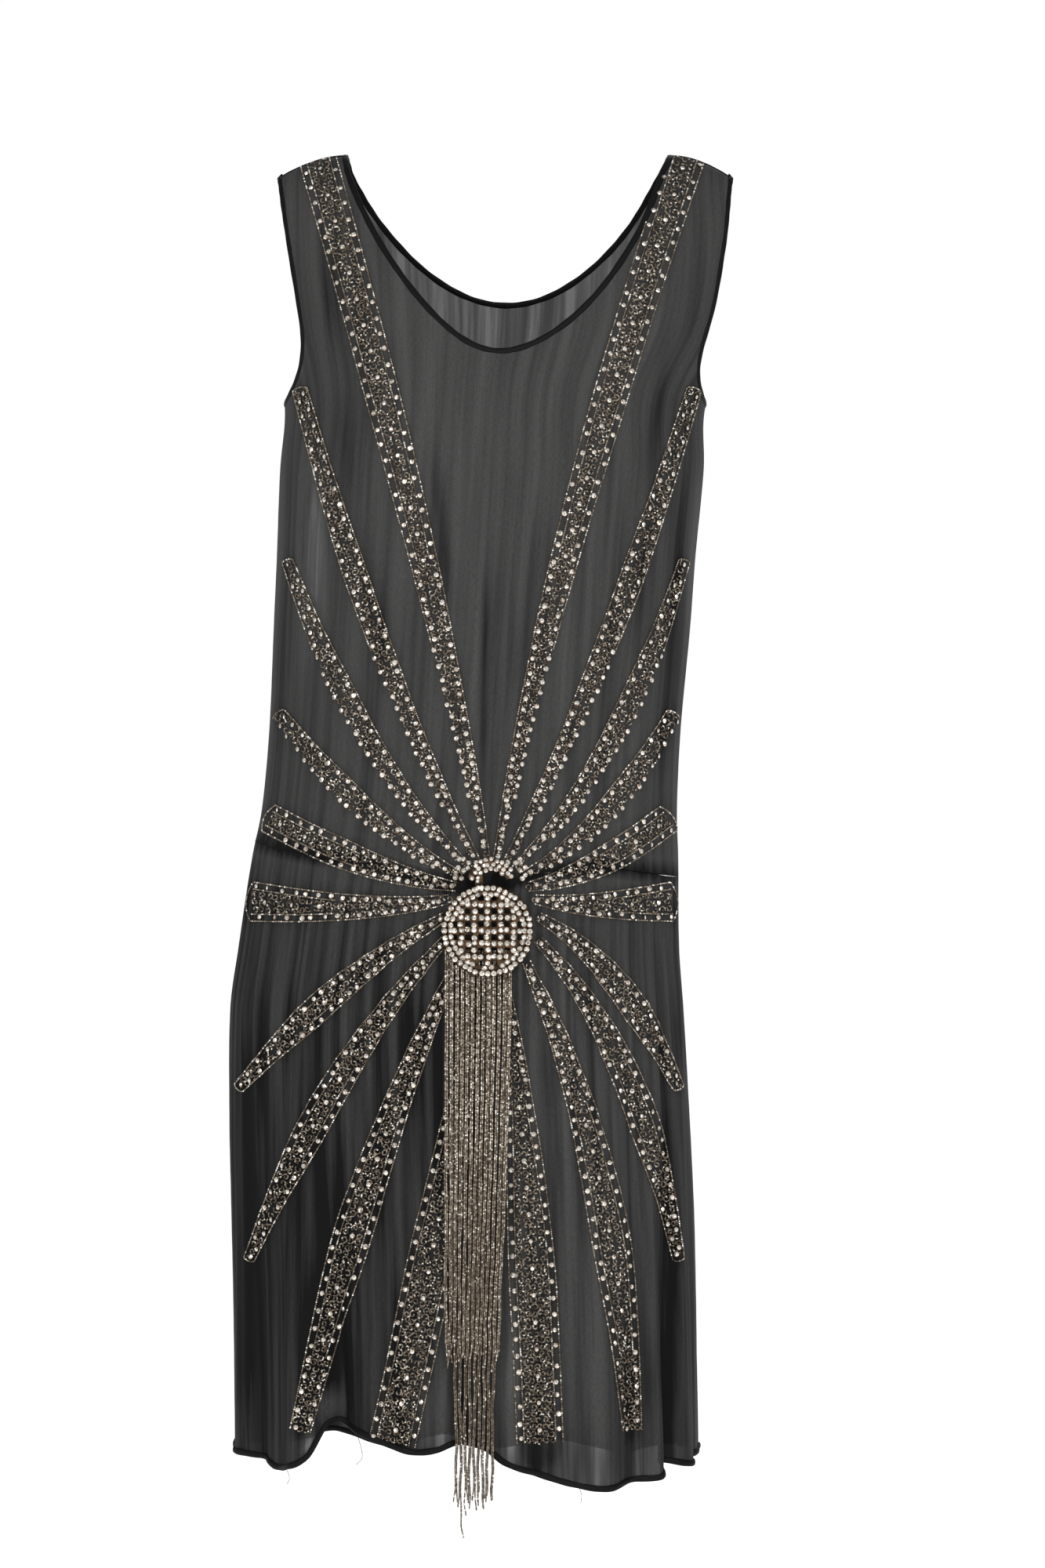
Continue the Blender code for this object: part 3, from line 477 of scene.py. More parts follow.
def chiffon():
    """Sheer black silk: darker and closer where it is gathered or seen through more of itself, and where painted
    shade lies in its fullness.
    """
    material, tree, shader = new_material("black chiffon", {
        "Roughness": 0.8, "Specular IOR Level": 0.1, "Sheen Weight": 0.02, "Sheen Roughness": 0.4})
    grain = wired(tree, "Group", "Grain", {"Thread Size": 1500}, node_tree=cloth_grain())
    streak = wired(tree, "MapRange", "Result", {
        "Value": thread_noise(tree, (1, 0.035, 1), 95, 3, 0.65), "From Min": 0.38, "From Max": 0.66})
    full, amount = (wired(tree, "Attribute", "Fac", attribute_name=name) for name in ("fullness", "streaks"))
    fullness = sums(tree, "MINIMUM", sums(tree, "ADD", full, sums(tree, "MULTIPLY", streak, amount)), 1.0)
    # The thick tone stands for cloth lying double and for painted shade alike.
    thin, thick_and_shaded = (0.055, 0.054, 0.053, 1), (0.004, 0.004, 0.0045, 1)
    tone = wired(tree, "Mix", 2, {0: fullness, 6: thin, 7: thick_and_shaded}, data_type="RGBA")
    slub = wired(tree, "Mix", 2, {0: 0.3, 6: tone, 7: grain}, data_type="RGBA", blend_type="MULTIPLY")
    cover = wired(tree, "Group", "Cover", {
        "Fullness": fullness, "Gap Share": sums(tree, "MULTIPLY_ADD", grain, -0.03, 0.135),
        "Facing": wired(tree, "LayerWeight", "Facing", {"Blend": 0.5})}, node_tree=sheer_cover())
    bump = wired(tree, "Bump", "Normal", {"Strength": 0.25, "Distance": 0.3 * MM, "Height": grain})
    feed(tree, shader, {"Base Color": slub, "Alpha": cover, "Normal": bump})
    return material


CHIFFON = chiffon()


def beside_armholes(column, row):
    return row > YOKE_ROWS or abs(column) < STRAP_COLUMN


BODICE_FINENESS = 4
BODICE_STREAKS = 0.4
panels = {}
for side, word in SIDES:
    bodice = silk_panel(word + "_bodice_silk", side, BODICE_FINENESS, YOKE_ROWS + BODY_ROWS,
                        bodice_lie, bodice_out, BODICE_STREAKS, beside_armholes)
    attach(bodice, "root")
    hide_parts(word + "_bodice")
    panels[word + "_bodice"] = bodice


# ---- skirt, front and back ----
# Two panels gathered into the hip seam and flared a little by folds that open towards the hem.
HEM = {
    FRONT: table(
        Edge, (-1, -1052), (-0.87, -1056), (-0.8, -1061), (-0.72, -1059), (-0.64, -1050), (-0.58, -1023),
        (-0.48, -1027), (-0.36, -1035), (-0.24, -1045), (-0.12, -1043), (-0.03, -1037), (0.09, -1042),
        (0.17, -1053), (0.3, -1062), (0.45, -1071), (0.58, -1075), (0.72, -1070), (0.8, -1068), (0.86, -1058),
        (0.94, -1062), (1, -1057),
    ),
    BACK: table(
        Edge, (-1, -1052), (-0.82, -1060), (-0.6, -1052), (-0.35, -1066), (-0.1, -1058), (0.15, -1068),
        (0.42, -1060), (0.66, -1070), (0.85, -1060), (1, -1057),
    ),
}
Fold = namedtuple("Fold", "turn width out start swing")
FOLDS = {
    FRONT: table(
        Fold, (-74, 5, 5, -760, 0), (-62, 4, -7, -700, 0), (-46, 6, 15, -720, 3), (-35, 4, -13, -740, 3),
        (-24, 6, 8, -760, 2), (-14, 4, -6, -800, 0), (-6, 5, 4, -820, 0), (3, 4, -6, -820, 0),
        (12, 5, 7, -740, 0), (19, 4, -5, -760, 0), (33, 8, 9, -720, 2), (44, 4, -5, -700, 0),
        (52, 4, 10, -760, 1), (59, 3.5, -11, -700, 1), (70, 5, 6, -660, 0), (79, 4, -5, -640, 0),
    ),
    BACK: table(
        Fold, (-77, 5, 5, -740, 0), (-66, 4, -8, -690, 0), (-54, 6, 11, -730, -2), (-43, 4, -9, -760, -2),
        (-31, 6, 9, -700, 0), (-20, 4, -10, -690, 0), (-8, 6, 12, -680, 2), (3, 4, -10, -700, 0),
        (15, 6, 9, -740, 0), (27, 4, -9, -720, 0), (38, 6, 12, -740, 2), (49, 4, -9, -700, 2),
        (61, 6, 9, -700, 0), (73, 4, -7, -720, 0), (81, 4, 4, -760, 0),
    ),
}
SKIRT_CREASES = {
    FRONT: table(
        Crease, (-80, 2.0, -1.5, -580, -1050, 1), (-68, 2.2, 1.6, -600, -1040, 0),
        (-57, 2.0, -1.8, -640, -1050, 1), (-52, 1.8, 1.4, -600, -900, 1), (-41, 1.8, -1.6, -590, -860, 1),
        (-29, 2.0, 1.5, -600, -980, 1), (-19, 1.8, -1.8, -600, -1000, 0), (-10, 1.6, 1.4, -620, -960, 0),
        (7, 1.8, -1.6, -610, -980, 0), (16, 1.6, 1.5, -600, -900, 0), (22, 1.6, -2.0, -690, -1000, -1),
        (27, 1.8, 1.6, -600, -860, 0), (30, 1.4, -1.8, -600, -820, 0), (37, 1.8, -2.2, -600, -880, 0),
        (41, 2.0, 1.6, -620, -960, 1), (47, 1.8, -2.2, -640, -1040, 1), (55, 1.8, 1.8, -590, -860, 0),
        (63, 2.0, -2.0, -590, -1040, 0), (66, 1.6, 1.6, -600, -1000, 0), (75, 1.8, -1.8, -600, -1050, 0),
    ),
    BACK: table(
        Crease, (-80, 2.0, 1.5, -600, -1000, 0), (-70, 2.0, -1.8, -580, -1000, 0),
        (-60, 1.8, 1.6, -600, -960, 0), (-49, 2.0, -1.8, -590, -1040, 1), (-37, 1.8, 1.6, -600, -900, 1),
        (-26, 1.8, -2.0, -600, -1030, 0), (-14, 1.8, 1.6, -600, -980, 0), (-3, 1.6, -1.8, -600, -900, 0),
        (9, 1.8, 1.8, -600, -1000, 0), (21, 1.8, -2.0, -600, -960, 0), (32, 1.8, 1.6, -600, -1030, 0),
        (43, 2.0, -1.8, -600, -900, 0), (55, 1.8, 1.6, -590, -1000, 0), (67, 2.0, -1.8, -590, -1040, 0),
        (77, 1.8, 1.6, -600, -960, 0),
    ),
}
SKIRT_ROWS = 11
GATHER_DEPTH = 1.3 * MM
GATHER_END = -800 * MM
GATHER_FADE = 0.75
GATHER_RISE = 30 * MM
SMALL_GATHERS = 66
GATHER_STRAY, GATHER_OUT = 0.8, 0.9
GATHER_WIDTHS, GATHER_LENGTHS = (0.5, 0.95), (60, 470)
HEM_TUCK = 2.5 * MM

small_gathers = {}
for side, word in SIDES:
    draw = np.random.default_rng(7 + side)
    spots = np.linspace(-80, 80, SMALL_GATHERS) + draw.uniform(-GATHER_STRAY, GATHER_STRAY, SMALL_GATHERS)
    small_gathers[side] = np.stack([spots, draw.uniform(*GATHER_WIDTHS, SMALL_GATHERS),
                                    draw.uniform(-GATHER_OUT, GATHER_OUT, SMALL_GATHERS) * MM,
                                    draw.uniform(*GATHER_LENGTHS, SMALL_GATHERS) * MM], -1)


def skirt_lie(side, column, row):
    turn = SIDE_TURN * column / HALF_COLUMNS
    top = edge_level(HIP_SEAM[side], turn) - SEAM_GAP / 2
    hem = edge_level(HEM[side], turn) + HEM_TUCK
    return turn, top + (hem - top) * row / SKIRT_ROWS


GATHER_ONSET, GATHER_AT_SEAM = 12, 0.3   # how fast a small gather rises below the seam, and what it has there


def skirt_out(side, turn, level):
    """Large folds, creases, and the gathers below the hip seam."""
    degrees = np.degrees(turn)
    calm = ease((90 - np.abs(degrees)) / CALM_WIDTH)
    hem = edge_level(HEM[side], turn)
    top = edge_level(HIP_SEAM[side], turn) - SEAM_GAP / 2
    total = np.zeros_like(degrees)
    for fold in FOLDS[side]:
        start = fold.start * MM
        fall = ease((start - level) / (start - hem))
        across = (degrees - fold.turn - fold.swing * fall) / fold.width
        total += fold.out * MM * fall * np.exp(-across ** 2)
    fade = ease((level - GATHER_END) / (GATHER_FADE * (top - GATHER_END))) * ease((top - level) / GATHER_RISE)
    total -= GATHER_DEPTH * fade * np.cos(math.pi * degrees / 90 * HALF_COLUMNS)
    total += creases_out(SKIRT_CREASES[side], turn, level)
    total -= FALL_DEPTH * soft_falls(worn_form(side, turn, level)[..., 0], level)
    for spot, width, out, length in small_gathers[side]:
        down = (top - level) / length
        fade = ease(1 - down) * ease(down * GATHER_ONSET + GATHER_AT_SEAM)
        total += out * np.exp(-((degrees - spot) / width) ** 2) * fade
    return total * calm


SKIRT_FINENESS = 5
SKIRT_STREAKS = 0.5
for side, word in SIDES:
    skirt = silk_panel(word + "_skirt_silk", side, SKIRT_FINENESS, SKIRT_ROWS, skirt_lie, skirt_out, SKIRT_STREAKS)
    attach(skirt, "root")
    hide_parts(word + "_skirt")
    panels[word + "_skirt"] = skirt


# ---- bindings and hem ----
# Bias strips of black silk, folded over the neck and the armholes, and a rolled hem whipped by hand.
BINDING_GAP = 0.6 * MM
ARMHOLE_STEPS, UNDERARM_STEPS = 60, 40
BINDING_LAP = 0.9 * MM         # the folded strip takes in this much of the cloth's edge
NECK_BINDING_HEIGHT, ARMHOLE_BINDING_HEIGHT = 3.4 * MM, 2.6 * MM
BINDING_THICKNESS = 2.2 * MM
HEM_ROLL = 2.4 * MM
HEM_ROLL_HEIGHT = 5 * MM
TUBE_SIDES = 10
SWELL, SWELL_WAVES = 0.05, (0.83, 0.31)   # how much a strip's thickness comes and goes, in two waves


def rolled_strip(name, centres, beyond, out, half_height, half_depth, closed):
    """A soft oval strip of silk along centres; beyond points along its height and out along its depth."""
    strip = bmesh.new()
    spans = len(centres) if closed else len(centres) - 1
    bmesh.ops.create_grid(strip, x_segments=spans, y_segments=TUBE_SIDES, size=1)
    for vert in strip.verts:
        index = round((vert.co.x + 1) / 2 * spans) % len(centres)
        angle = math.tau * round((vert.co.y + 1) / 2 * TUBE_SIDES) / TUBE_SIDES
        swell = sum((SWELL * math.sin(index * wave) for wave in SWELL_WAVES), 1)
        vert.co = (centres[index] + beyond[index] * half_height * swell * math.cos(angle)
                   + out[index] * half_depth * swell * math.sin(angle))
    bmesh.ops.remove_doubles(strip, verts=strip.verts, dist=0.01 * MM)
    if not closed:
        bmesh.ops.holes_fill(strip, edges=[edge for edge in strip.edges if edge.is_boundary], sides=0)
    bmesh.ops.recalc_face_normals(strip, faces=strip.faces)
    for face in strip.faces:
        face.smooth = True
    return mesh_piece(name, strip, BINDING_SILK)


def form_normal(side, turn, level, out=0.0):
    """Outward direction of the worn form, from its own slopes."""
    small = 1e-4
    inner = np.clip(turn, -SIDE_TURN + 2 * small, SIDE_TURN - 2 * small)
    around = worn_form(side, inner + small, level, out) - worn_form(side, inner - small, level, out)
    up = worn_form(side, inner, level + small, out) - worn_form(side, inner, level - small, out)
    return unit(np.cross(around, up) * -side)


def strip_round(name, places, normals, towards, height):
    """A binding on a closed edge; towards gives the edge's open side."""
    tangent = unit(np.roll(places, -1, 0) - np.roll(places, 1, 0))
    beyond = unit(np.cross(tangent, normals))
    beyond *= np.sign((beyond * towards).sum(-1, keepdims=True))
    out = unit(np.cross(beyond, tangent))
    out *= np.sign((out * normals).sum(-1, keepdims=True))
    half_height = (BINDING_GAP + height + BINDING_LAP) / 2
    centres = places + beyond * (half_height - BINDING_LAP) + out * CLOTH_LIFT
    return rolled_strip(name, centres, beyond, out, half_height, BINDING_THICKNESS / 2, True)


def mottled(tree, scale, detail, steps):
    """A colour that runs unevenly through its steps, and the noise under it."""
    noise = wired(tree, "TexNoise", "Fac", {
        "Vector": wired(tree, "TexCoord", "Object"), "Scale": scale, "Detail": detail})
    return ramp(tree, noise, steps), noise


def binding_silk():
    """Folded silk on the bias: near black, with a low sheen along its ridge."""
    material, tree, shader = new_material("binding silk", {"Roughness": 0.6, "Specular IOR Level": 0.08})
    colour, noise = mottled(tree, 700, 2, ((0, (0.002, 0.002, 0.0025)), (1, (0.007, 0.007, 0.0075))))
    bump = wired(tree, "Bump", "Normal", {"Strength": 0.3, "Distance": 0.2 * MM, "Height": noise})
    feed(tree, shader, {"Base Color": colour, "Normal": bump})
    return material


BINDING_SILK = binding_silk()


def scoop_edge(side, count):
    turn = NECK_TURN * np.sin(np.linspace(-SIDE_TURN, SIDE_TURN, count))
    level = neck_level(side, turn)
    return worn_form(side, turn, level), form_normal(side, turn, level)


def joined_round(front, back):
    """Front and back edges as one closed round; they meet at both ends."""
    (front_places, front_normals), (back_places, back_normals) = front, back
    first = ((front_places[:1] + back_places[:1]) / 2, unit(front_normals[:1] + back_normals[:1]))
    last = ((front_places[-1:] + back_places[-1:]) / 2, unit(front_normals[-1:] + back_normals[-1:]))
    return (np.concatenate([first[0], front_places[1:-1], last[0], back_places[-2:0:-1]]),
            np.concatenate([first[1], front_normals[1:-1], last[1], back_normals[-2:0:-1]]))


bindings = []
places, normals = joined_round(scoop_edge(FRONT, 200), scoop_edge(BACK, 180))
towards = np.stack([-places[:, 0], 0 * places[:, 0], 0 * places[:, 0] + NECK_HALF], -1)
bindings.append(strip_round("neck_binding_silk", places, normals, towards, NECK_BINDING_HEIGHT))


def armhole_edge(side, sign):
    """From the shoulder down to the side seam."""
    rows = np.linspace(0, YOKE_ROWS, ARMHOLE_STEPS)
    columns = np.linspace(STRAP_COLUMN, HALF_COLUMNS, UNDERARM_STEPS)[1:]
    column = sign * np.concatenate([0 * rows + STRAP_COLUMN, columns])
    row = np.concatenate([rows, 0 * columns + YOKE_ROWS])
    turn, level = bodice_lie(side, column, row)
    return worn_form(side, turn, level), form_normal(side, turn, level)


for sign, word in ((-1, "right"), (1, "left")):
    places, normals = joined_round(armhole_edge(FRONT, sign), armhole_edge(BACK, sign))
    towards = np.broadcast_to([sign, 0, 1], places.shape)
    bindings.append(strip_round(word + "_armhole_binding_silk", places, normals, towards, ARMHOLE_BINDING_HEIGHT))
for piece, node in zip(bindings, ("neck_binding", "right_armhole_binding", "left_armhole_binding")):
    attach(piece, "root")
    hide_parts(node)

for side, word in SIDES:
    turn = np.linspace(-SIDE_TURN, SIDE_TURN, 240)
    level = edge_level(HEM[side], turn) + HEM_ROLL_HEIGHT / 2
    out = skirt_out(side, turn, level)
    centres = worn_form(side, turn, level, out + HEM_ROLL / 2)
    outward = unit(worn_form(side, turn, level, out + MM) - worn_form(side, turn, level, out))
    beyond = unit(np.cross(np.gradient(centres, axis=0), outward))
    hem = rolled_strip(word + "_hem_roll", centres, beyond, outward, HEM_ROLL_HEIGHT / 2, HEM_ROLL / 2, False)
    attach(hem, "root")


# ---- side and shoulder seams, loose threads ----
# Each seam is a narrow closed one, stitched twice and pressed flat. A few threads have come loose at the hem.
SIDE_SEAM = (1.0 * MM, 0.45 * MM)         # half its width and half its depth
SEAM_STEPS = 240
SHOULDER_SEAM = (1.5 * MM, 0.8 * MM)

for sign, hand in ((-1, "right"), (1, "left")):
    foot = edge_level(HEM[FRONT], sign * SIDE_TURN) + HEM_ROLL_HEIGHT
    down = np.linspace(ARMHOLE_SIDE - ARMHOLE_REACH, foot, SEAM_STEPS)
    along = sign * np.linspace(NECK_TURN, SHOULDER_TURN, 30)
    for label, turn, level, outward, (half_width, half_depth) in (
            ("side", sign * SIDE_TURN, down, (float(sign), 0.0, 0.0), SIDE_SEAM),
            ("shoulder", along, shoulder_line(np.sin(along) * YOKE_HALF * MM), (0.0, 0.0, 1.0), SHOULDER_SEAM)):
        places = worn_form(FRONT, turn, level) * (1, 0, 1) + CLOTH_LIFT * np.array(outward)
        seam = rolled_strip(f"{hand}_{label}_seam", places, np.broadcast_to([0.0, 1.0, 0.0], places.shape),
                            np.broadcast_to(outward, places.shape), half_width, half_depth, False)
        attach(seam, "root")

# Places of each thread, across and level, and how far the last of them stands off the hem.
LOOSE_THREADS = (
    ((-114.5, -1029), (-111, -1041), (-110.7, -1048), (-115.2, -1053)),
    ((-176, -1056), (-171, -1062), (-169.5, -1068), (-171.5, -1072)),
    ((62, -1071), (64, -1077), (63.2, -1083)),
)
THREAD_STAND_OFF = 2 * MM
THREAD_RADIUS = 0.2 * MM
for number, rows in enumerate(LOOSE_THREADS):
    rows = np.array(rows) * MM
    share = np.linspace(0, len(rows) - 1, 24)
    across, level = (smooth_through(np.arange(len(rows)), rows[:, k], share) for k in (0, 1))
    turn = turn_at(rows[0, 0], rows[0, 1])
    hem_place = worn_form(FRONT, turn, rows[0, 1], skirt_out(FRONT, turn, rows[0, 1]) + HEM_ROLL / 2)
    path = np.stack([across, hem_place[1] - THREAD_STAND_OFF * share / share[-1], level], -1)
    tangent = unit(np.gradient(path, axis=0))
    beyond = unit(np.cross(tangent, [0.0, 1.0, 0.0]))
    thread = rolled_strip(f"loose_thread_{number + 1}", path, beyond, np.cross(beyond, tangent), THREAD_RADIUS,
                          THREAD_RADIUS, False)
    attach(thread, "root")


# ---- beadwork on the panels ----
# Rays of seed beads and stones, sewn down along a flat pattern: lines along both edges, a row of
# stones inside each, and curls of beads round single stones between them.
#
# The rays are a fan, alike on the wearer's right and left. They leave the heart at even angles and bend towards
# their ends: how far down each one ends, how far out as a share of the half width there, and its widths.
Spoke = namedtuple("Spoke", "end_level end_share widest at_end")
FAN = table(
    Spoke, (0, 0.81, 27, 30), (-190, 0.92, 20, 12), (-330, 0.95, 20, 9), (-455, 0.96, 20, 12),
    (-540, 0.96, 24, 24), (-608, 0.97, 22, 32), (-760, 0.96, 24, 9), (-900, 0.93, 27, 9),
    (-1040, 0.72, 33, 16), (-1050, 0.32, 38, 38),
)
FIRST_ANGLE, ANGLE_STEP = 10, 18
HEART = np.array((-8, -600))
NEAR_ARCH, BELOW_DISC = 26, 44
RAY_BEND = 0.42
HEART_WIDTH, WIDEST_AT = 7, 0.62
FAN_STATIONS = 7
SHOULDER_REACH = 186
BARE_SPOKES, BARE_BELOW = 4, -400 * MM   # the first rays have no line of seeds on their outer edge down here
Ray = namedtuple("Ray", "stations bare_hand")


def fan_ray(number, spoke, hand):
    """One ray of the fan, from its far end to the heart: across, level and width at each station."""
    angle = math.radians(FIRST_ANGLE + ANGLE_STEP * number)
    leaving = np.array((hand * math.sin(angle), math.cos(angle)))
    start = HEART + (NEAR_ARCH + BELOW_DISC * ((1 - math.cos(angle)) / 2) ** 3) * leaving
    middle, half = 0, SHOULDER_REACH
    if number:
        middle, half = (float(section(value, spoke.end_level * MM)) / MM for value in ("middle", "half_width"))
    end = np.array((middle + hand * spoke.end_share * half, spoke.end_level))
    bend = start + RAY_BEND * np.linalg.norm(end - start) * leaving
    stations = []
    for share in np.linspace(1, 0, FAN_STATIONS):
        place = (1 - share) ** 2 * start + 2 * share * (1 - share) * bend + share ** 2 * end
        stations.append((*place, np.interp(share, (0, WIDEST_AT, 1), (HEART_WIDTH, spoke.widest, spoke.at_end))))
    return Ray(np.array(stations) * MM, hand if number < BARE_SPOKES else 0)


SEED_RADIUS = 0.9 * MM
SEED_PITCH = 1.85 * MM
STONE_RADIUS = 2.2 * MM
WIDE_RAY = 22 * MM
CHANNEL = 5.7 * MM             # from the edge line to the second line, with a row of stones between
PATTERN_STEP = 0.2 * MM
BEAD_LIFT = 0.75 * MM
STEEPEST = 0.1                  # no beads where a panel turns further away than this
JUMP = 3 * MM                   # a line of seeds stops at a fold rather than crossing the air

silk_tree = {}
for side, word in SIDES:
    both = bmesh.new()
    both.from_mesh(panels[word + "_bodice"].data)
    both.from_mesh(panels[word + "_skirt"].data)
    silk_tree[side] = BVHTree.FromBMesh(both)
    both.free()


def lay_on_silk(side, pattern):
    """Carries flat pattern points onto the silk: their places, outward directions, and which of them met it."""
    eye = Vector((VIEW_POINT.x, side * -VIEW_POINT.y, VIEW_POINT.z))
    places, outward, met = np.zeros((len(pattern), 3)), np.zeros((len(pattern), 3)), np.zeros(len(pattern), bool)
    for index, (across, level) in enumerate(pattern):
        towards = (Vector((across, 0, level)) - eye).normalized()
        place, normal, face, distance = silk_tree[side].ray_cast(eye, towards)
        if place is not None:
            places[index] = place
            outward[index] = normal if normal.dot(towards) < 0 else -normal
            met[index] = abs(normal.dot(towards)) > STEEPEST
    return places, outward, met


Course = namedtuple("Course", "along middle sideways width wide lined")


def course(ray):
    """A ray in fine steps: how far along, its middle, sideways direction and width, and which edges have seeds."""
    reach = np.concatenate([[0], np.cumsum(np.linalg.norm(np.diff(ray.stations[:, :2], axis=0), axis=1))])
    along = np.arange(0, reach[-1], PATTERN_STEP)
    across, level, width = (smooth_through(reach, values, along) for values in ray.stations.T)
    middle = np.stack([across, level], -1)
    tangent = unit(np.gradient(middle, axis=0))
    lined = {hand: (level > BARE_BELOW) | (hand != ray.bare_hand) for hand in (-1, 1)}
    return Course(along, middle, np.stack([-tangent[:, 1], tangent[:, 0]], -1), width, width > WIDE_RAY, lined)


RAYS = [course(fan_ray(number, spoke, hand)) for number, spoke in enumerate(FAN) for hand in (-1, 1)]
UNDER_BEADS = 0.25
SHADE_EDGE = 1.6 * MM
SHADE_STEP = 15


def shade_under(panel, side):
    """The silk lies close and in shade under the beads."""
    places = np.array([vert.co for vert in panel.data.vertices])
    eye = np.array((VIEW_POINT.x, side * -VIEW_POINT.y, VIEW_POINT.z))
    pattern = (eye + (places - eye) * (eye[1] / (eye[1] - places[:, 1]))[:, None])[:, ::2]
    shade = np.zeros(len(places))
    for ray in RAYS:
        for index in range(0, len(ray.along), SHADE_STEP):
            gap = np.hypot(*(pattern - ray.middle[index]).T) - ray.width[index] / 2
            shade = np.maximum(shade, 1 / (1 + np.exp(np.clip(gap / SHADE_EDGE, -30, 30))))
    fullness = panel.data.attributes["fullness"]
    before = np.zeros(len(places))
    fullness.data.foreach_get("value", before)
    fullness.data.foreach_set("value", np.minimum(before + UNDER_BEADS * shade, 1))


for side, word in SIDES:
    for part in ("_bodice", "_skirt"):
        shade_under(panels[word + part], side)


def evenly_sewn(places, outward, met, pitch):
    """Beads at an even pitch along a line already laid on the silk."""
    found = []
    jumps = np.linalg.norm(np.diff(places, axis=0), axis=1) > JUMP
    breaks = np.flatnonzero((np.diff(met.astype(int)) != 0) | jumps) + 1
    for part in np.split(np.arange(len(met)), breaks):
        if len(part) < 3 or not met[part[0]]:
            continue
        line, normals = places[part], outward[part]
        gone = np.concatenate([[0], np.cumsum(np.linalg.norm(np.diff(line, axis=0), axis=1))])
        spots = np.arange(pitch / 2, gone[-1], pitch)
        if len(spots) == 0:
            continue
        at, out, ahead = (np.stack([np.interp(where, gone, values[:, k]) for k in range(3)], -1)
                          for where, values in ((spots, line), (spots, normals), (spots + pitch / 2, line)))
        found.append(np.stack([at, unit(out), unit(ahead - at + 1e-9)], 1))
    return np.concatenate(found) if found else np.zeros((0, 3, 3))


OPEN_AT_HEM = -1020 * MM        # rays that end lower run on to the hem
END_BOW = 0.3


def edge_lines(side, ray):
    """Lines of seeds: along both edges, a second inside the stones where the ray is wide, and round its end."""
    found = []
    for hand in (-1, 1):
        for inset, sewn in ((0, ray.lined[hand]), (CHANNEL, ray.lined[hand] & ray.wide)):
            pattern = ray.middle + ray.sideways * (hand * (ray.width / 2 - inset))[:, None]
            places, outward, met = lay_on_silk(side, pattern)
            found.append(evenly_sewn(places, outward, met & sewn, SEED_PITCH))
    end, width, sideways = ray.middle[0], ray.width[0], ray.sideways[0]
    if end[1] > OPEN_AT_HEM:
        share = np.linspace(-1, 1, int(width / PATTERN_STEP))[:, None]
        bow = share * sideways + END_BOW * (1 - share ** 2) * np.array((-sideways[1], sideways[0]))
        found.append(evenly_sewn(*lay_on_silk(side, end + width / 2 * bow), SEED_PITCH))
    return np.concatenate(found)


STONES_CLOSE, STONES_OPEN = 7.4 * MM, 6.2 * MM
OPEN_FROM_HEART = 0.34
STONE_INSET, BARE_INSET = 3.1 * MM, 1.2 * MM
STONE_STRAY = 0.45 * MM
STONE_SHIFT = 8                  # in pattern steps, along the ray
STAGGER = 0.25                   # of the pitch: the stones of both edges don't stand in pairs
TWO_ROWS = 10 * MM
CENTRE_PITCH = 22 * MM


def edge_stones(ray, draw):
    """Stones inside both edges, closer together near the medallion, and a single row where the ray is narrow."""
    heart = np.linalg.norm(ray.middle - HEART * MM, axis=1)
    pitch = STONES_CLOSE + STONES_OPEN * np.clip(heart / OPEN_FROM_HEART, 0, 1)
    found = []
    for hand in (-1, 1):
        steps = np.cumsum(PATTERN_STEP / pitch) + 0.5 + STAGGER * hand
        picks = np.flatnonzero(np.diff(np.floor(steps)) > 0)
        picks = np.clip(picks + draw.integers(-STONE_SHIFT, STONE_SHIFT + 1, len(picks)), 0, len(pitch) - 1)
        inset = np.where(ray.lined[hand], STONE_INSET, BARE_INSET)
        reach = np.where(ray.width > TWO_ROWS, ray.width / 2 - inset, 0)
        spots = ray.middle[picks] + ray.sideways[picks] * (hand * reach[picks])[:, None]
        kept = (ray.width[picks] > TWO_ROWS) | (hand > 0)
        found.append((spots + draw.normal(0, STONE_STRAY, spots.shape))[kept])
    return found


def centre_stones(ray):
    """Single stones down the middle of a ray where it is wide."""
    steps = np.cumsum(np.full(len(ray.along), PATTERN_STEP / CENTRE_PITCH))
    return ray.middle[np.flatnonzero((np.diff(np.floor(steps + 0.5)) > 0) & ray.wide[1:])]


CURL_CELL = 5.45 * MM
CURL_BEADS = 10
CURL_WINDING, CURL_SIZES = (3.6, 7.6), (0.88, 1.14)
CURL_OUTER, CURL_INNER = 2.75 * MM, 0.9 * MM
CURL_STRAY = 0.6 * MM
CURL_SEED = 0.84 * MM
STONE_ROOM = 2.5 * MM
LINE_ROOM, EDGE_ROOM = 0.9 * MM, 1.0 * MM


def curl(middle, draw):
    """One curl or hook of seeds, wound inwards from a chosen start."""
    size, winding = draw.uniform(*CURL_SIZES), draw.uniform(*CURL_WINDING)
    radius = np.sqrt(np.linspace(CURL_OUTER ** 2, CURL_INNER ** 2, CURL_BEADS))
    turn = draw.uniform(0, math.tau) + (draw.integers(2) * 2 - 1) * winding * (
        (CURL_OUTER - radius) / (CURL_OUTER - CURL_INNER))
    return middle + (size * radius)[:, None] * np.stack([np.cos(turn), np.sin(turn)], -1)


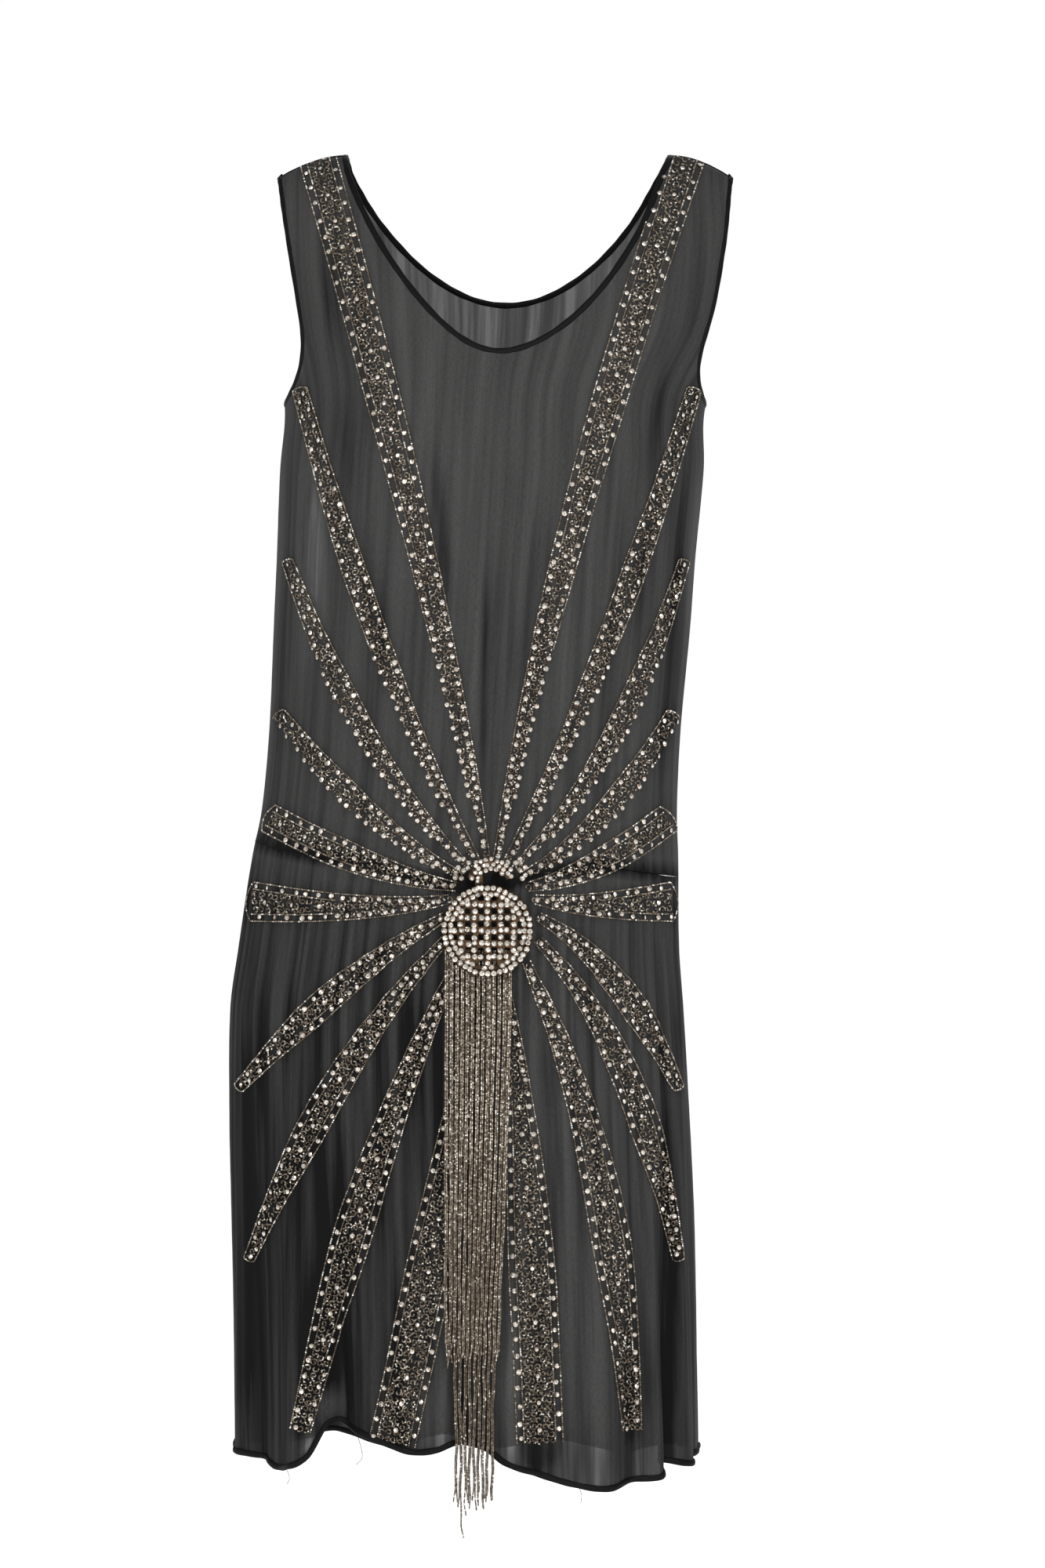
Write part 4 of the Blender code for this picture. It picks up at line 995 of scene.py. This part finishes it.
def curls_over(ray, draw):
    """Curls side by side over all of the ray that its lines and rows of stones leave."""
    found = []
    for start in np.arange(CURL_CELL / 2, ray.along[-1], CURL_CELL):
        index = int(start / PATTERN_STEP)
        rooms = []
        for hand in (-1, 1):
            channelled = ray.wide[index] and ray.lined[hand][index]
            rooms.append(ray.width[index] / 2 - (CHANNEL + LINE_ROOM if channelled else EDGE_ROOM))
        span = sum(rooms)
        if span < 2 * CURL_INNER:
            continue
        cells = max(1, round(span / CURL_CELL))
        for cell in range(cells):
            place = (cell + 0.5) / cells * span - rooms[0]
            stray = draw.uniform(-CURL_STRAY, CURL_STRAY, 2)
            found.append(curl(ray.middle[index] + ray.sideways[index] * place + stray, draw))
    return found


def round_spots(middle, radius, angles):
    return [middle + radius * np.array((math.cos(angle), math.sin(angle))) for angle in angles]


# Stones that stand on the silk round both ends of the arch, on the front alone.
BESIDE_MIDDLE, BESIDE_RADII = np.array((-8, -592.6)), (25, 30)
BESIDE_ANGLES = np.radians((8, 24, 40, 140, 156, 172))


def beadwork(side, draw):
    """Seed lines, curls and stones of all rays on one side."""
    lines, curls, stones = [], [], []
    for ray in RAYS:
        lines.append(edge_lines(side, ray))
        stones += edge_stones(ray, draw) + [centre_stones(ray)]
        curls += curls_over(ray, draw)
    if side == FRONT:
        stones += [np.array(round_spots(BESIDE_MIDDLE, radius, BESIDE_ANGLES)) * MM for radius in BESIDE_RADII]
    stones = np.concatenate(stones)
    stone_tree = KDTree(len(stones))
    for index, spot in enumerate(stones):
        stone_tree.insert((*spot, 0), index)
    stone_tree.balance()
    points = np.concatenate(curls)
    ahead = np.concatenate([np.gradient(one, axis=0) for one in curls])
    clear = np.array([stone_tree.find((*point, 0))[2] > STONE_ROOM for point in points])
    places, outward, met = lay_on_silk(side, points[clear])
    ahead = unit(np.insert(ahead[clear], 1, 0, axis=1))
    curl_beads = np.stack([places, outward, unit(np.cross(np.cross(outward, ahead), outward) + 1e-9)], 1)[met]
    places, outward, met = lay_on_silk(side, stones)
    aside = unit(np.cross(outward, np.broadcast_to([0.0, 0.0, 1.0], outward.shape)) + 1e-9)
    return np.concatenate(lines), curl_beads, np.stack([places, outward, aside], 1)[met]


def seed_bead(sides):
    """One seed bead, a short rounded bicone along its thread."""
    bead = bmesh.new()
    for lower, place in ((0.0, -0.5), (1.0, 0.5)):
        bmesh.ops.create_cone(bead, cap_ends=False, segments=sides, radius1=lower, radius2=1 - lower, depth=1.0,
                              matrix=Matrix.Translation((0, 0, place)))
    bmesh.ops.remove_doubles(bead, verts=bead.verts, dist=0.001)
    bmesh.ops.recalc_face_normals(bead, faces=bead.faces)
    for face in bead.faces:
        face.smooth = True
    return bead


def cut_stone():
    """One round stone in its metal cup: cup wall, ring of facets and table; x and y lie on the silk."""
    stone = bmesh.new()
    profile = ((0, 0), (0.94, 0), (1, 0.45), (0.86, 0.52), (0.5, 0.82), (0, 0.84))
    rim = [stone.verts.new((across, 0, up)) for across, up in profile]
    edges = [stone.edges.new(pair) for pair in zip(rim, rim[1:])]
    bmesh.ops.spin(stone, geom=rim + edges, cent=(0, 0, 0), axis=(0, 0, 1), angle=math.tau, steps=8, use_merge=True)
    bmesh.ops.remove_doubles(stone, verts=stone.verts, dist=0.001)
    bmesh.ops.dissolve_limit(stone, angle_limit=0.02, verts=stone.verts, edges=stone.edges)
    bmesh.ops.recalc_face_normals(stone, faces=stone.faces)
    for face in stone.faces:
        face.material_index = int(face.calc_center_median().z > 0.55)
    return stone


BEAD_TIP = 0.14


def rolled(beads, draw):
    """The same beads, each turned about its thread and tipped a little in its own way."""
    turn = draw.uniform(0, math.tau, len(beads))[:, None]
    along = unit(beads[:, 2] + draw.normal(0, BEAD_TIP, (len(beads), 3)))
    aside = unit(np.cross(along, beads[:, 1]))
    outward = np.cross(aside, along)
    return np.stack([beads[:, 0], outward * np.cos(turn) + aside * np.sin(turn), along], 1)


def sewn_on(name, shape, beads, size, tints, material_list, stand=(2, 1)):
    """One mesh of many like beads; beads holds place, outward and along, and stand says which is the shape's z."""
    rounded = all(face.smooth for face in shape.faces)
    shape.verts.index_update()
    corners = np.array([vert.co for vert in shape.verts])
    face_sizes = np.array([len(face.verts) for face in shape.faces])
    loops = np.array([vert.index for face in shape.faces for vert in face.verts])
    finishes = np.array([face.material_index for face in shape.faces])
    count = len(beads)
    size = np.broadcast_to(size, (count, 3)) if np.ndim(size) == 1 else size
    z_axis, x_axis = beads[:, stand[0]], beads[:, stand[1]]
    y_axis = unit(np.cross(z_axis, x_axis))
    x_axis = unit(np.cross(y_axis, z_axis))
    spread = corners[None] * size[:, None]
    points = (beads[:, None, 0] + spread[..., :1] * x_axis[:, None] + spread[..., 1:2] * y_axis[:, None]
              + spread[..., 2:] * z_axis[:, None])
    data = bpy.data.meshes.new(name)
    data.vertices.add(points.shape[0] * points.shape[1])
    data.vertices.foreach_set("co", points.ravel())
    data.loops.add(count * len(loops))
    shift = np.arange(count)[:, None] * len(corners)
    data.loops.foreach_set("vertex_index", (loops[None] + shift).ravel())
    data.polygons.add(count * len(face_sizes))
    sizes = np.tile(face_sizes, count)
    data.polygons.foreach_set("loop_start", np.concatenate([[0], np.cumsum(sizes)[:-1]]))
    data.polygons.foreach_set("loop_total", sizes)
    data.polygons.foreach_set("material_index", np.tile(finishes, count))
    data.polygons.foreach_set("use_smooth", np.full(len(sizes), rounded))
    tint = data.attributes.new("tint", "FLOAT", "FACE")
    tint.data.foreach_set("value", np.asarray(tints, float).ravel())
    data.update(calc_edges=True)
    for material in material_list:
        data.materials.append(material)
    piece = bpy.data.objects.new(name, data)
    bpy.context.collection.objects.link(piece)
    return piece


def ramp_of_tint(name, steps, metallic, roughness):
    """A bright finish whose colour runs with each bead's own tint."""
    material, tree, shader = new_material(name, {"Metallic": metallic, "Roughness": roughness})
    feed(tree, shader, {"Base Color": ramp(tree, wired(tree, "Attribute", "Fac", attribute_name="tint"), steps)})
    return material


SEED_GLASS = ramp_of_tint("silver lined seed beads", (
    (0.0, (0.035, 0.026, 0.019)), (0.4, (0.17, 0.135, 0.10)), (0.75, (0.55, 0.48, 0.39)),
    (1.0, (1.0, 0.95, 0.87))), 0.85, 0.36)
STONE_GLASS = ramp_of_tint("foiled stones", (
    (0.0, (0.05, 0.04, 0.035)), (0.4, (0.42, 0.385, 0.34)), (1.0, (1.0, 0.97, 0.91))), 0.55, 0.08)
CUP_METAL = ramp_of_tint("stone cups", ((0.0, (0.05, 0.032, 0.02)), (1.0, (0.40, 0.27, 0.165))), 1.0, 0.35)


stone_shape = cut_stone()
seed_shape = seed_bead(4)
DULLEST = 0.7
# How dark the painted reflections on the facets of stones and cups can run.
FACET_DARK, FACET_POWER = 0.92, 1.9


def facet_tints(draw, count):
    """Each facet of each stone gets its own painted brightness, the glints and dark reflections of a cut stone, and
    some stones are duller.
    """
    dull = draw.uniform(DULLEST, 1, (count, 1))
    return (1 - FACET_DARK * draw.uniform(0, 1, (count, len(stone_shape.faces))) ** FACET_POWER) * dull


# Seed bead tints: low and high bound each bead's random tint; a share of the beads, on the panels and in the
# fringe, gets full brightness as painted glints.
Tints = namedtuple("Tints", "low high bright_share")
LINE_TINTS, CURL_TINTS = Tints(0.24, 0.66, 0.14), Tints(0.1, 0.66, 0.07)


def spread_of_tints(draw, tints, count):
    """A tint for each bead at random, and full brightness for a share of them as painted glints."""
    tint = draw.uniform(tints.low, tints.high, count)
    tint[draw.uniform(0, 1, count) < tints.bright_share] = 1
    return np.repeat(tint, len(seed_shape.faces))


SEED_SIZES, SEED_LENGTH = (0.9, 1.1), 1.42
STONE_SIZES, STONE_LIFT = (0.92, 1.08), 0.2


def seed_sizes(draw, count, radius):
    return np.stack([draw.uniform(*SEED_SIZES, count)] * 2 + [np.full(count, SEED_LENGTH)], -1) * radius


def set_stones(name, stones, radius, draw):
    """Stones in their cups; radius is a column, one row for each stone."""
    return sewn_on(name, stone_shape, stones, np.repeat(radius, 3, axis=1), facet_tints(draw, len(stones)),
                   [CUP_METAL, STONE_GLASS], stand=(1, 2))


for side, word in SIDES:
    draw = np.random.default_rng(19 + side)
    lines, curls, stones = beadwork(side, draw)
    for beads in (lines, curls):
        beads[:, 0] += beads[:, 1] * BEAD_LIFT
    stones[:, 0] += stones[:, 1] * STONE_LIFT * MM
    pieces = []
    for label, beads, radius, tints in (("seed_lines", lines, SEED_RADIUS, LINE_TINTS),
                                        ("bead_curls", curls, CURL_SEED, CURL_TINTS)):
        pieces.append(sewn_on(f"{word}_{label}", seed_shape, rolled(beads, draw),
                              seed_sizes(draw, len(beads), radius),
                              spread_of_tints(draw, tints, len(beads)), [SEED_GLASS]))
    radius = draw.uniform(*STONE_SIZES, (len(stones), 1)) * STONE_RADIUS
    pieces.append(set_stones(word + "_stones", stones, radius, draw))
    for piece in pieces:
        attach(piece, "root")


# ---- hip medallion ----
# An openwork disc of stones in metal cups, with an arch of stones over it, sewn on over the hip seam.
STONE_PITCH = 5.2 * MM
Ring = namedtuple("Ring", "radius count")
RINGS = table(Ring, (34, 44), (29.4, 38))
SET_STRAY = 0.4 * MM
LATTICE_REACH = 26.2 * MM
MEDALLION_STONE, ARCH_STONE = 2.42 * MM, 2.0 * MM
MEDALLION_MIDDLE = np.array((-10.8, -628.6)) * MM
ARCH_MIDDLE = MEDALLION_MIDDLE + np.array((3, 36)) * MM
Arc = namedtuple("Arc", "radius count reach")
ARCH = table(Arc, (12.9, 7, 60), (16.7, 10, 68), (20.3, 9, 50))
LINK_ACROSS, LINK_LEVELS = -17.8, (-589, -594)
LATTICE_PLACES = 6               # places to each side of the middle
STONE_TIP, STONE_DROOP = 0.08, 0.02

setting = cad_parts["hip_medallion"]
setting_mesh = bmesh.new()
setting_mesh.from_mesh(setting.data)
setting_tree = BVHTree.FromBMesh(setting_mesh)
setting_mesh.free()


def medallion_spots():
    """Where the stones stand: two rings, the lattice with every second place open, the arch and its link."""
    spots = []
    for ring in RINGS:
        angles = np.linspace(0, math.tau, ring.count, endpoint=False)
        spots += round_spots(MEDALLION_MIDDLE, ring.radius * MM, angles)
    for across in range(-LATTICE_PLACES, LATTICE_PLACES + 1):
        for up in range(-LATTICE_PLACES, LATTICE_PLACES + 1):
            spot = np.array((across, up)) * STONE_PITCH
            if not (across % 2 and up % 2) and np.linalg.norm(spot) < LATTICE_REACH:
                spots.append(MEDALLION_MIDDLE + spot)
    for arc in ARCH:
        angles = np.radians(90 + np.linspace(-arc.reach, arc.reach, arc.count))
        spots += round_spots(ARCH_MIDDLE, arc.radius * MM, angles)
    return np.array(spots + [np.array((LINK_ACROSS, level)) * MM for level in LINK_LEVELS])


def sparkle(spots, draw):
    """Stones set on the metal wherever it carries them, each tipped a little."""
    beads = []
    for across, level in spots + draw.normal(0, SET_STRAY, spots.shape):
        place = setting_tree.ray_cast(Vector((across, -1, level)), Vector((0, 1, 0)))[0]
        if place is not None:
            beads.append([place, (draw.normal(0, STONE_TIP), -1, draw.normal(STONE_DROOP, STONE_TIP)), (1, 0, 0)])
    beads = np.array(beads)
    beads[:, 1] = unit(beads[:, 1])
    radius = np.where(beads[:, 0, 2] > ARCH_MIDDLE[1], ARCH_STONE, MEDALLION_STONE)
    return set_stones("medallion_stones", beads, radius[:, None], draw)


medallion_stones = sparkle(medallion_spots(), np.random.default_rng(5))
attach(medallion_stones, "root")


def setting_metal():
    """The old metal of the setting, dull and brownish where it shows between the stones."""
    material, tree, shader = new_material("setting metal", {"Metallic": 0.9, "Roughness": 0.42})
    colour, noise = mottled(tree, 260, 4, ((0.4, (0.010, 0.006, 0.004)), (0.7, (0.09, 0.052, 0.028))))
    feed(tree, shader, {"Base Color": colour})
    return material


for material_slot in setting.material_slots:
    material_slot.material = setting_metal()


# ---- bead fringe ----
# Strands of small silver lined beads on thread, sewn side by side to a tape behind the medallion.
# A full outer layer ends above the hem; a thinner inner one hangs on below it, each strand at its own length.
HEADING_WIDTH = 55 * MM
HEADING_HEIGHT = 6 * MM
HEADING_DEPTH = 4.2 * MM
HEADING_MIDDLE = -18 * MM
HEADING_LEVEL = -638 * MM
STRAND_LEVELS = (-700 * MM, -820 * MM, -955 * MM)
HANG_END = -1090 * MM
GATHER_ROOM = 2 * MM
FOLD_ROOM = 8 * MM
LAST_SPAN = 20 * MM
HOOK_LENGTH = 10 * MM
PAIRED = 0.17                  # how far two neighbours draw together, in their own widths
PAIR_DEPTH = 0.5 * MM
TINT_BY_LEVEL = ((-1110, 1.0), (-1000, 0.92), (-900, 0.84), (-780, 1.08), (-640, 1.16))   # tints at each level
SWAY_TOP, SWAY_REACH = 0.15, 0.42
SWAY_WAVES = (75, 190, 47)       # radians to the metre: long, short and front to back
HOOK_REACH, UNEVEN = 1.8, 0.06
HEM_MIDDLE = -1052 * MM
FRONT_ROOM = 2 * MM
Layer = namedtuple("Layer", "strands width foot_middle foot_width out bead pitch end ends_spread sway tints")
LAYERS = (
    Layer(26, 55, -24.5, 42, 3.15, 0.92, 1.2, -969, 9, 0.45, Tints(0.18, 0.74, 0.07)),
    Layer(18, 50, -21.5, 31, 1.05, 0.9, 1.2, -1082, 9, 0.45, Tints(0.14, 0.6, 0.05)),
)
LONGEST_STRAND, LONGEST_LEVEL = 3, -1109 * MM


def front_surface(across, level):
    return worn_form(FRONT, turn_at(across, level), level)[..., 1] - FRONT_ROOM


def strand_course(layer, column, end, draw):
    """Bead places down one strand, which sways more the lower it hangs and ends in a small hook."""
    second = column % 2
    share = (column + 0.5 + PAIRED * (1 - 2 * second)) / layer.strands - 0.5
    behind = PAIR_DEPTH * second - GATHER_ROOM - layer.out * MM
    start = np.array((HEADING_MIDDLE + share * layer.width * MM,
                      front_surface(HEADING_MIDDLE, HEADING_LEVEL) + behind, HEADING_LEVEL - HEADING_HEIGHT))
    path = [start]
    for level in [level for level in STRAND_LEVELS if level > end + LAST_SPAN] + [end]:
        fall = (start[2] - level) / (start[2] - HANG_END)
        foot = (layer.foot_middle + share * layer.foot_width) * MM
        skirt = front_surface(layer.foot_middle * MM, max(level, HEM_MIDDLE))
        path.append(np.array((start[0] + (foot - start[0]) * float(ease(fall)),
                              skirt + behind - FOLD_ROOM * float(ease(2 * fall)), level)))
    path = np.array(path)
    levels = np.arange(start[2] - draw.uniform(0, layer.pitch) * MM, end, -layer.pitch * MM)
    levels += draw.normal(0, UNEVEN * layer.pitch * MM, len(levels))
    spots = np.stack([smooth_through(-path[:, 2], path[:, 0], -levels),
                      smooth_through(-path[:, 2], path[:, 1], -levels), levels], -1)
    long, short, deep = SWAY_WAVES
    sway = (SWAY_TOP + ease((start[2] - levels) / SWAY_REACH)) * layer.sway * MM
    phase = np.random.default_rng(100 * layer.strands + column // 2).uniform(0, math.tau, 3)
    spots[:, 0] += sway * (np.sin(levels * long + phase[0]) + 0.5 * np.sin(levels * short + phase[1]))
    spots[:, 1] += sway * 0.5 * np.sin(levels * deep + phase[2])
    hook = ease((end + HOOK_LENGTH - levels) / HOOK_LENGTH)
    spots[:, 0] += hook * draw.uniform(-HOOK_REACH, HOOK_REACH) * MM
    return spots


draw = np.random.default_rng(31)
fringe_spots, fringe_radius, fringe_tints = [], [], []
for layer in LAYERS:
    for column in range(layer.strands):
        end = (layer.end + draw.uniform(-1, 1) * layer.ends_spread) * MM
        if layer is LAYERS[-1] and column == LONGEST_STRAND:
            end = LONGEST_LEVEL
        fringe_spots.append(strand_course(layer, column, end, draw))
        fringe_radius.append(np.full(len(fringe_spots[-1]), layer.bead * MM))
        level_tint = np.interp(fringe_spots[-1][:, 2], *(np.array(TINT_BY_LEVEL).T * [[MM], [1]]))
        tints = spread_of_tints(draw, layer.tints, len(level_tint))
        fringe_tints.append(tints * np.repeat(level_tint, len(seed_shape.faces)))
fringe_spots, fringe_radius = np.concatenate(fringe_spots), np.concatenate(fringe_radius)
down = np.broadcast_to([0.0, 0.0, -1.0], fringe_spots.shape)
outward = np.broadcast_to([0.0, -1.0, 0.0], fringe_spots.shape)
fringe = sewn_on("bead_fringe_strands", seed_shape, rolled(np.stack([fringe_spots, outward, down], 1), draw),
                 seed_sizes(draw, len(fringe_spots), fringe_radius[:, None]),
                 np.concatenate(fringe_tints), [SEED_GLASS])
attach(fringe, "root")
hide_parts("bead_fringe")

tape_front = front_surface(HEADING_MIDDLE, HEADING_LEVEL) - GATHER_ROOM
tape_shape = bmesh.new()
bmesh.ops.create_cube(tape_shape, size=1)
bmesh.ops.scale(tape_shape, verts=tape_shape.verts, vec=(HEADING_WIDTH, HEADING_DEPTH, HEADING_HEIGHT))
bmesh.ops.bevel(tape_shape, geom=tape_shape.edges[:], offset=HEADING_DEPTH * 0.4, segments=3, profile=0.5,
                affect="EDGES", material=-1)
bmesh.ops.translate(tape_shape, verts=tape_shape.verts, vec=(
    HEADING_MIDDLE, tape_front - HEADING_DEPTH / 2, HEADING_LEVEL - HEADING_HEIGHT / 2))
for face in tape_shape.faces:
    face.smooth = True
tape = mesh_piece("fringe_heading_tape", tape_shape, BINDING_SILK)
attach(tape, "root")
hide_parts("bead_fringe")


# ---- floor and light ----
# A plain pale floor at the wearer's feet, a pale surround, and large soft lamps.
FLOOR_LEVEL, FLOOR_SIZE = -1.46, 30
floor_shape = bmesh.new()
bmesh.ops.create_grid(floor_shape, x_segments=1, y_segments=1, size=FLOOR_SIZE,
                      matrix=Matrix.Translation((0, 0, FLOOR_LEVEL)))
floor = mesh_piece("floor", floor_shape, new_material("pale floor", {
    "Base Color": (0.8, 0.8, 0.8, 1), "Roughness": 0.9,
    "Emission Color": (1, 1, 1, 1), "Emission Strength": 0.7,
})[0])

world = bpy.data.worlds.new("pale room")
bpy.context.scene.world = world
world.use_nodes = True
tree = world.node_tree
seen = tree.nodes["Background"]
feed(tree, seen, {"Color": (1, 1, 1, 1)})
cast = wired(tree, "Background", "Background", {"Color": (0.96, 0.98, 1, 1), "Strength": 0.42})
feed(tree, tree.nodes["World Output"], {"Surface": wired(tree, "MixShader", "Shader", {
    0: wired(tree, "LightPath", "Is Camera Ray"), 1: cast, 2: seen.outputs["Background"]})})

Lamp = namedtuple("Lamp", "name place size power")
LIT_MIDDLE = Vector((0, 0, -0.55))
for lamp in table(Lamp, ("key", (1.1, -3.9, 1.4), 1.2, 100), ("fill", (-2.5, -3.4, 0.3), 1.4, 34),
                  ("low", (-0.3, -3.6, -1.2), 0.6, 14), ("back", (0.6, 3.4, 1.8), 2.0, 30)):
    light = bpy.data.lights.new(lamp.name, "AREA")
    light.size = lamp.size
    light.energy = lamp.power
    item = bpy.data.objects.new(lamp.name, light)
    item.location = lamp.place
    item.rotation_euler = (LIT_MIDDLE - Vector(lamp.place)).to_track_quat("-Z", "Y").to_euler()
    bpy.context.collection.objects.link(item)
bpy.context.scene.view_settings.view_transform = "Standard"
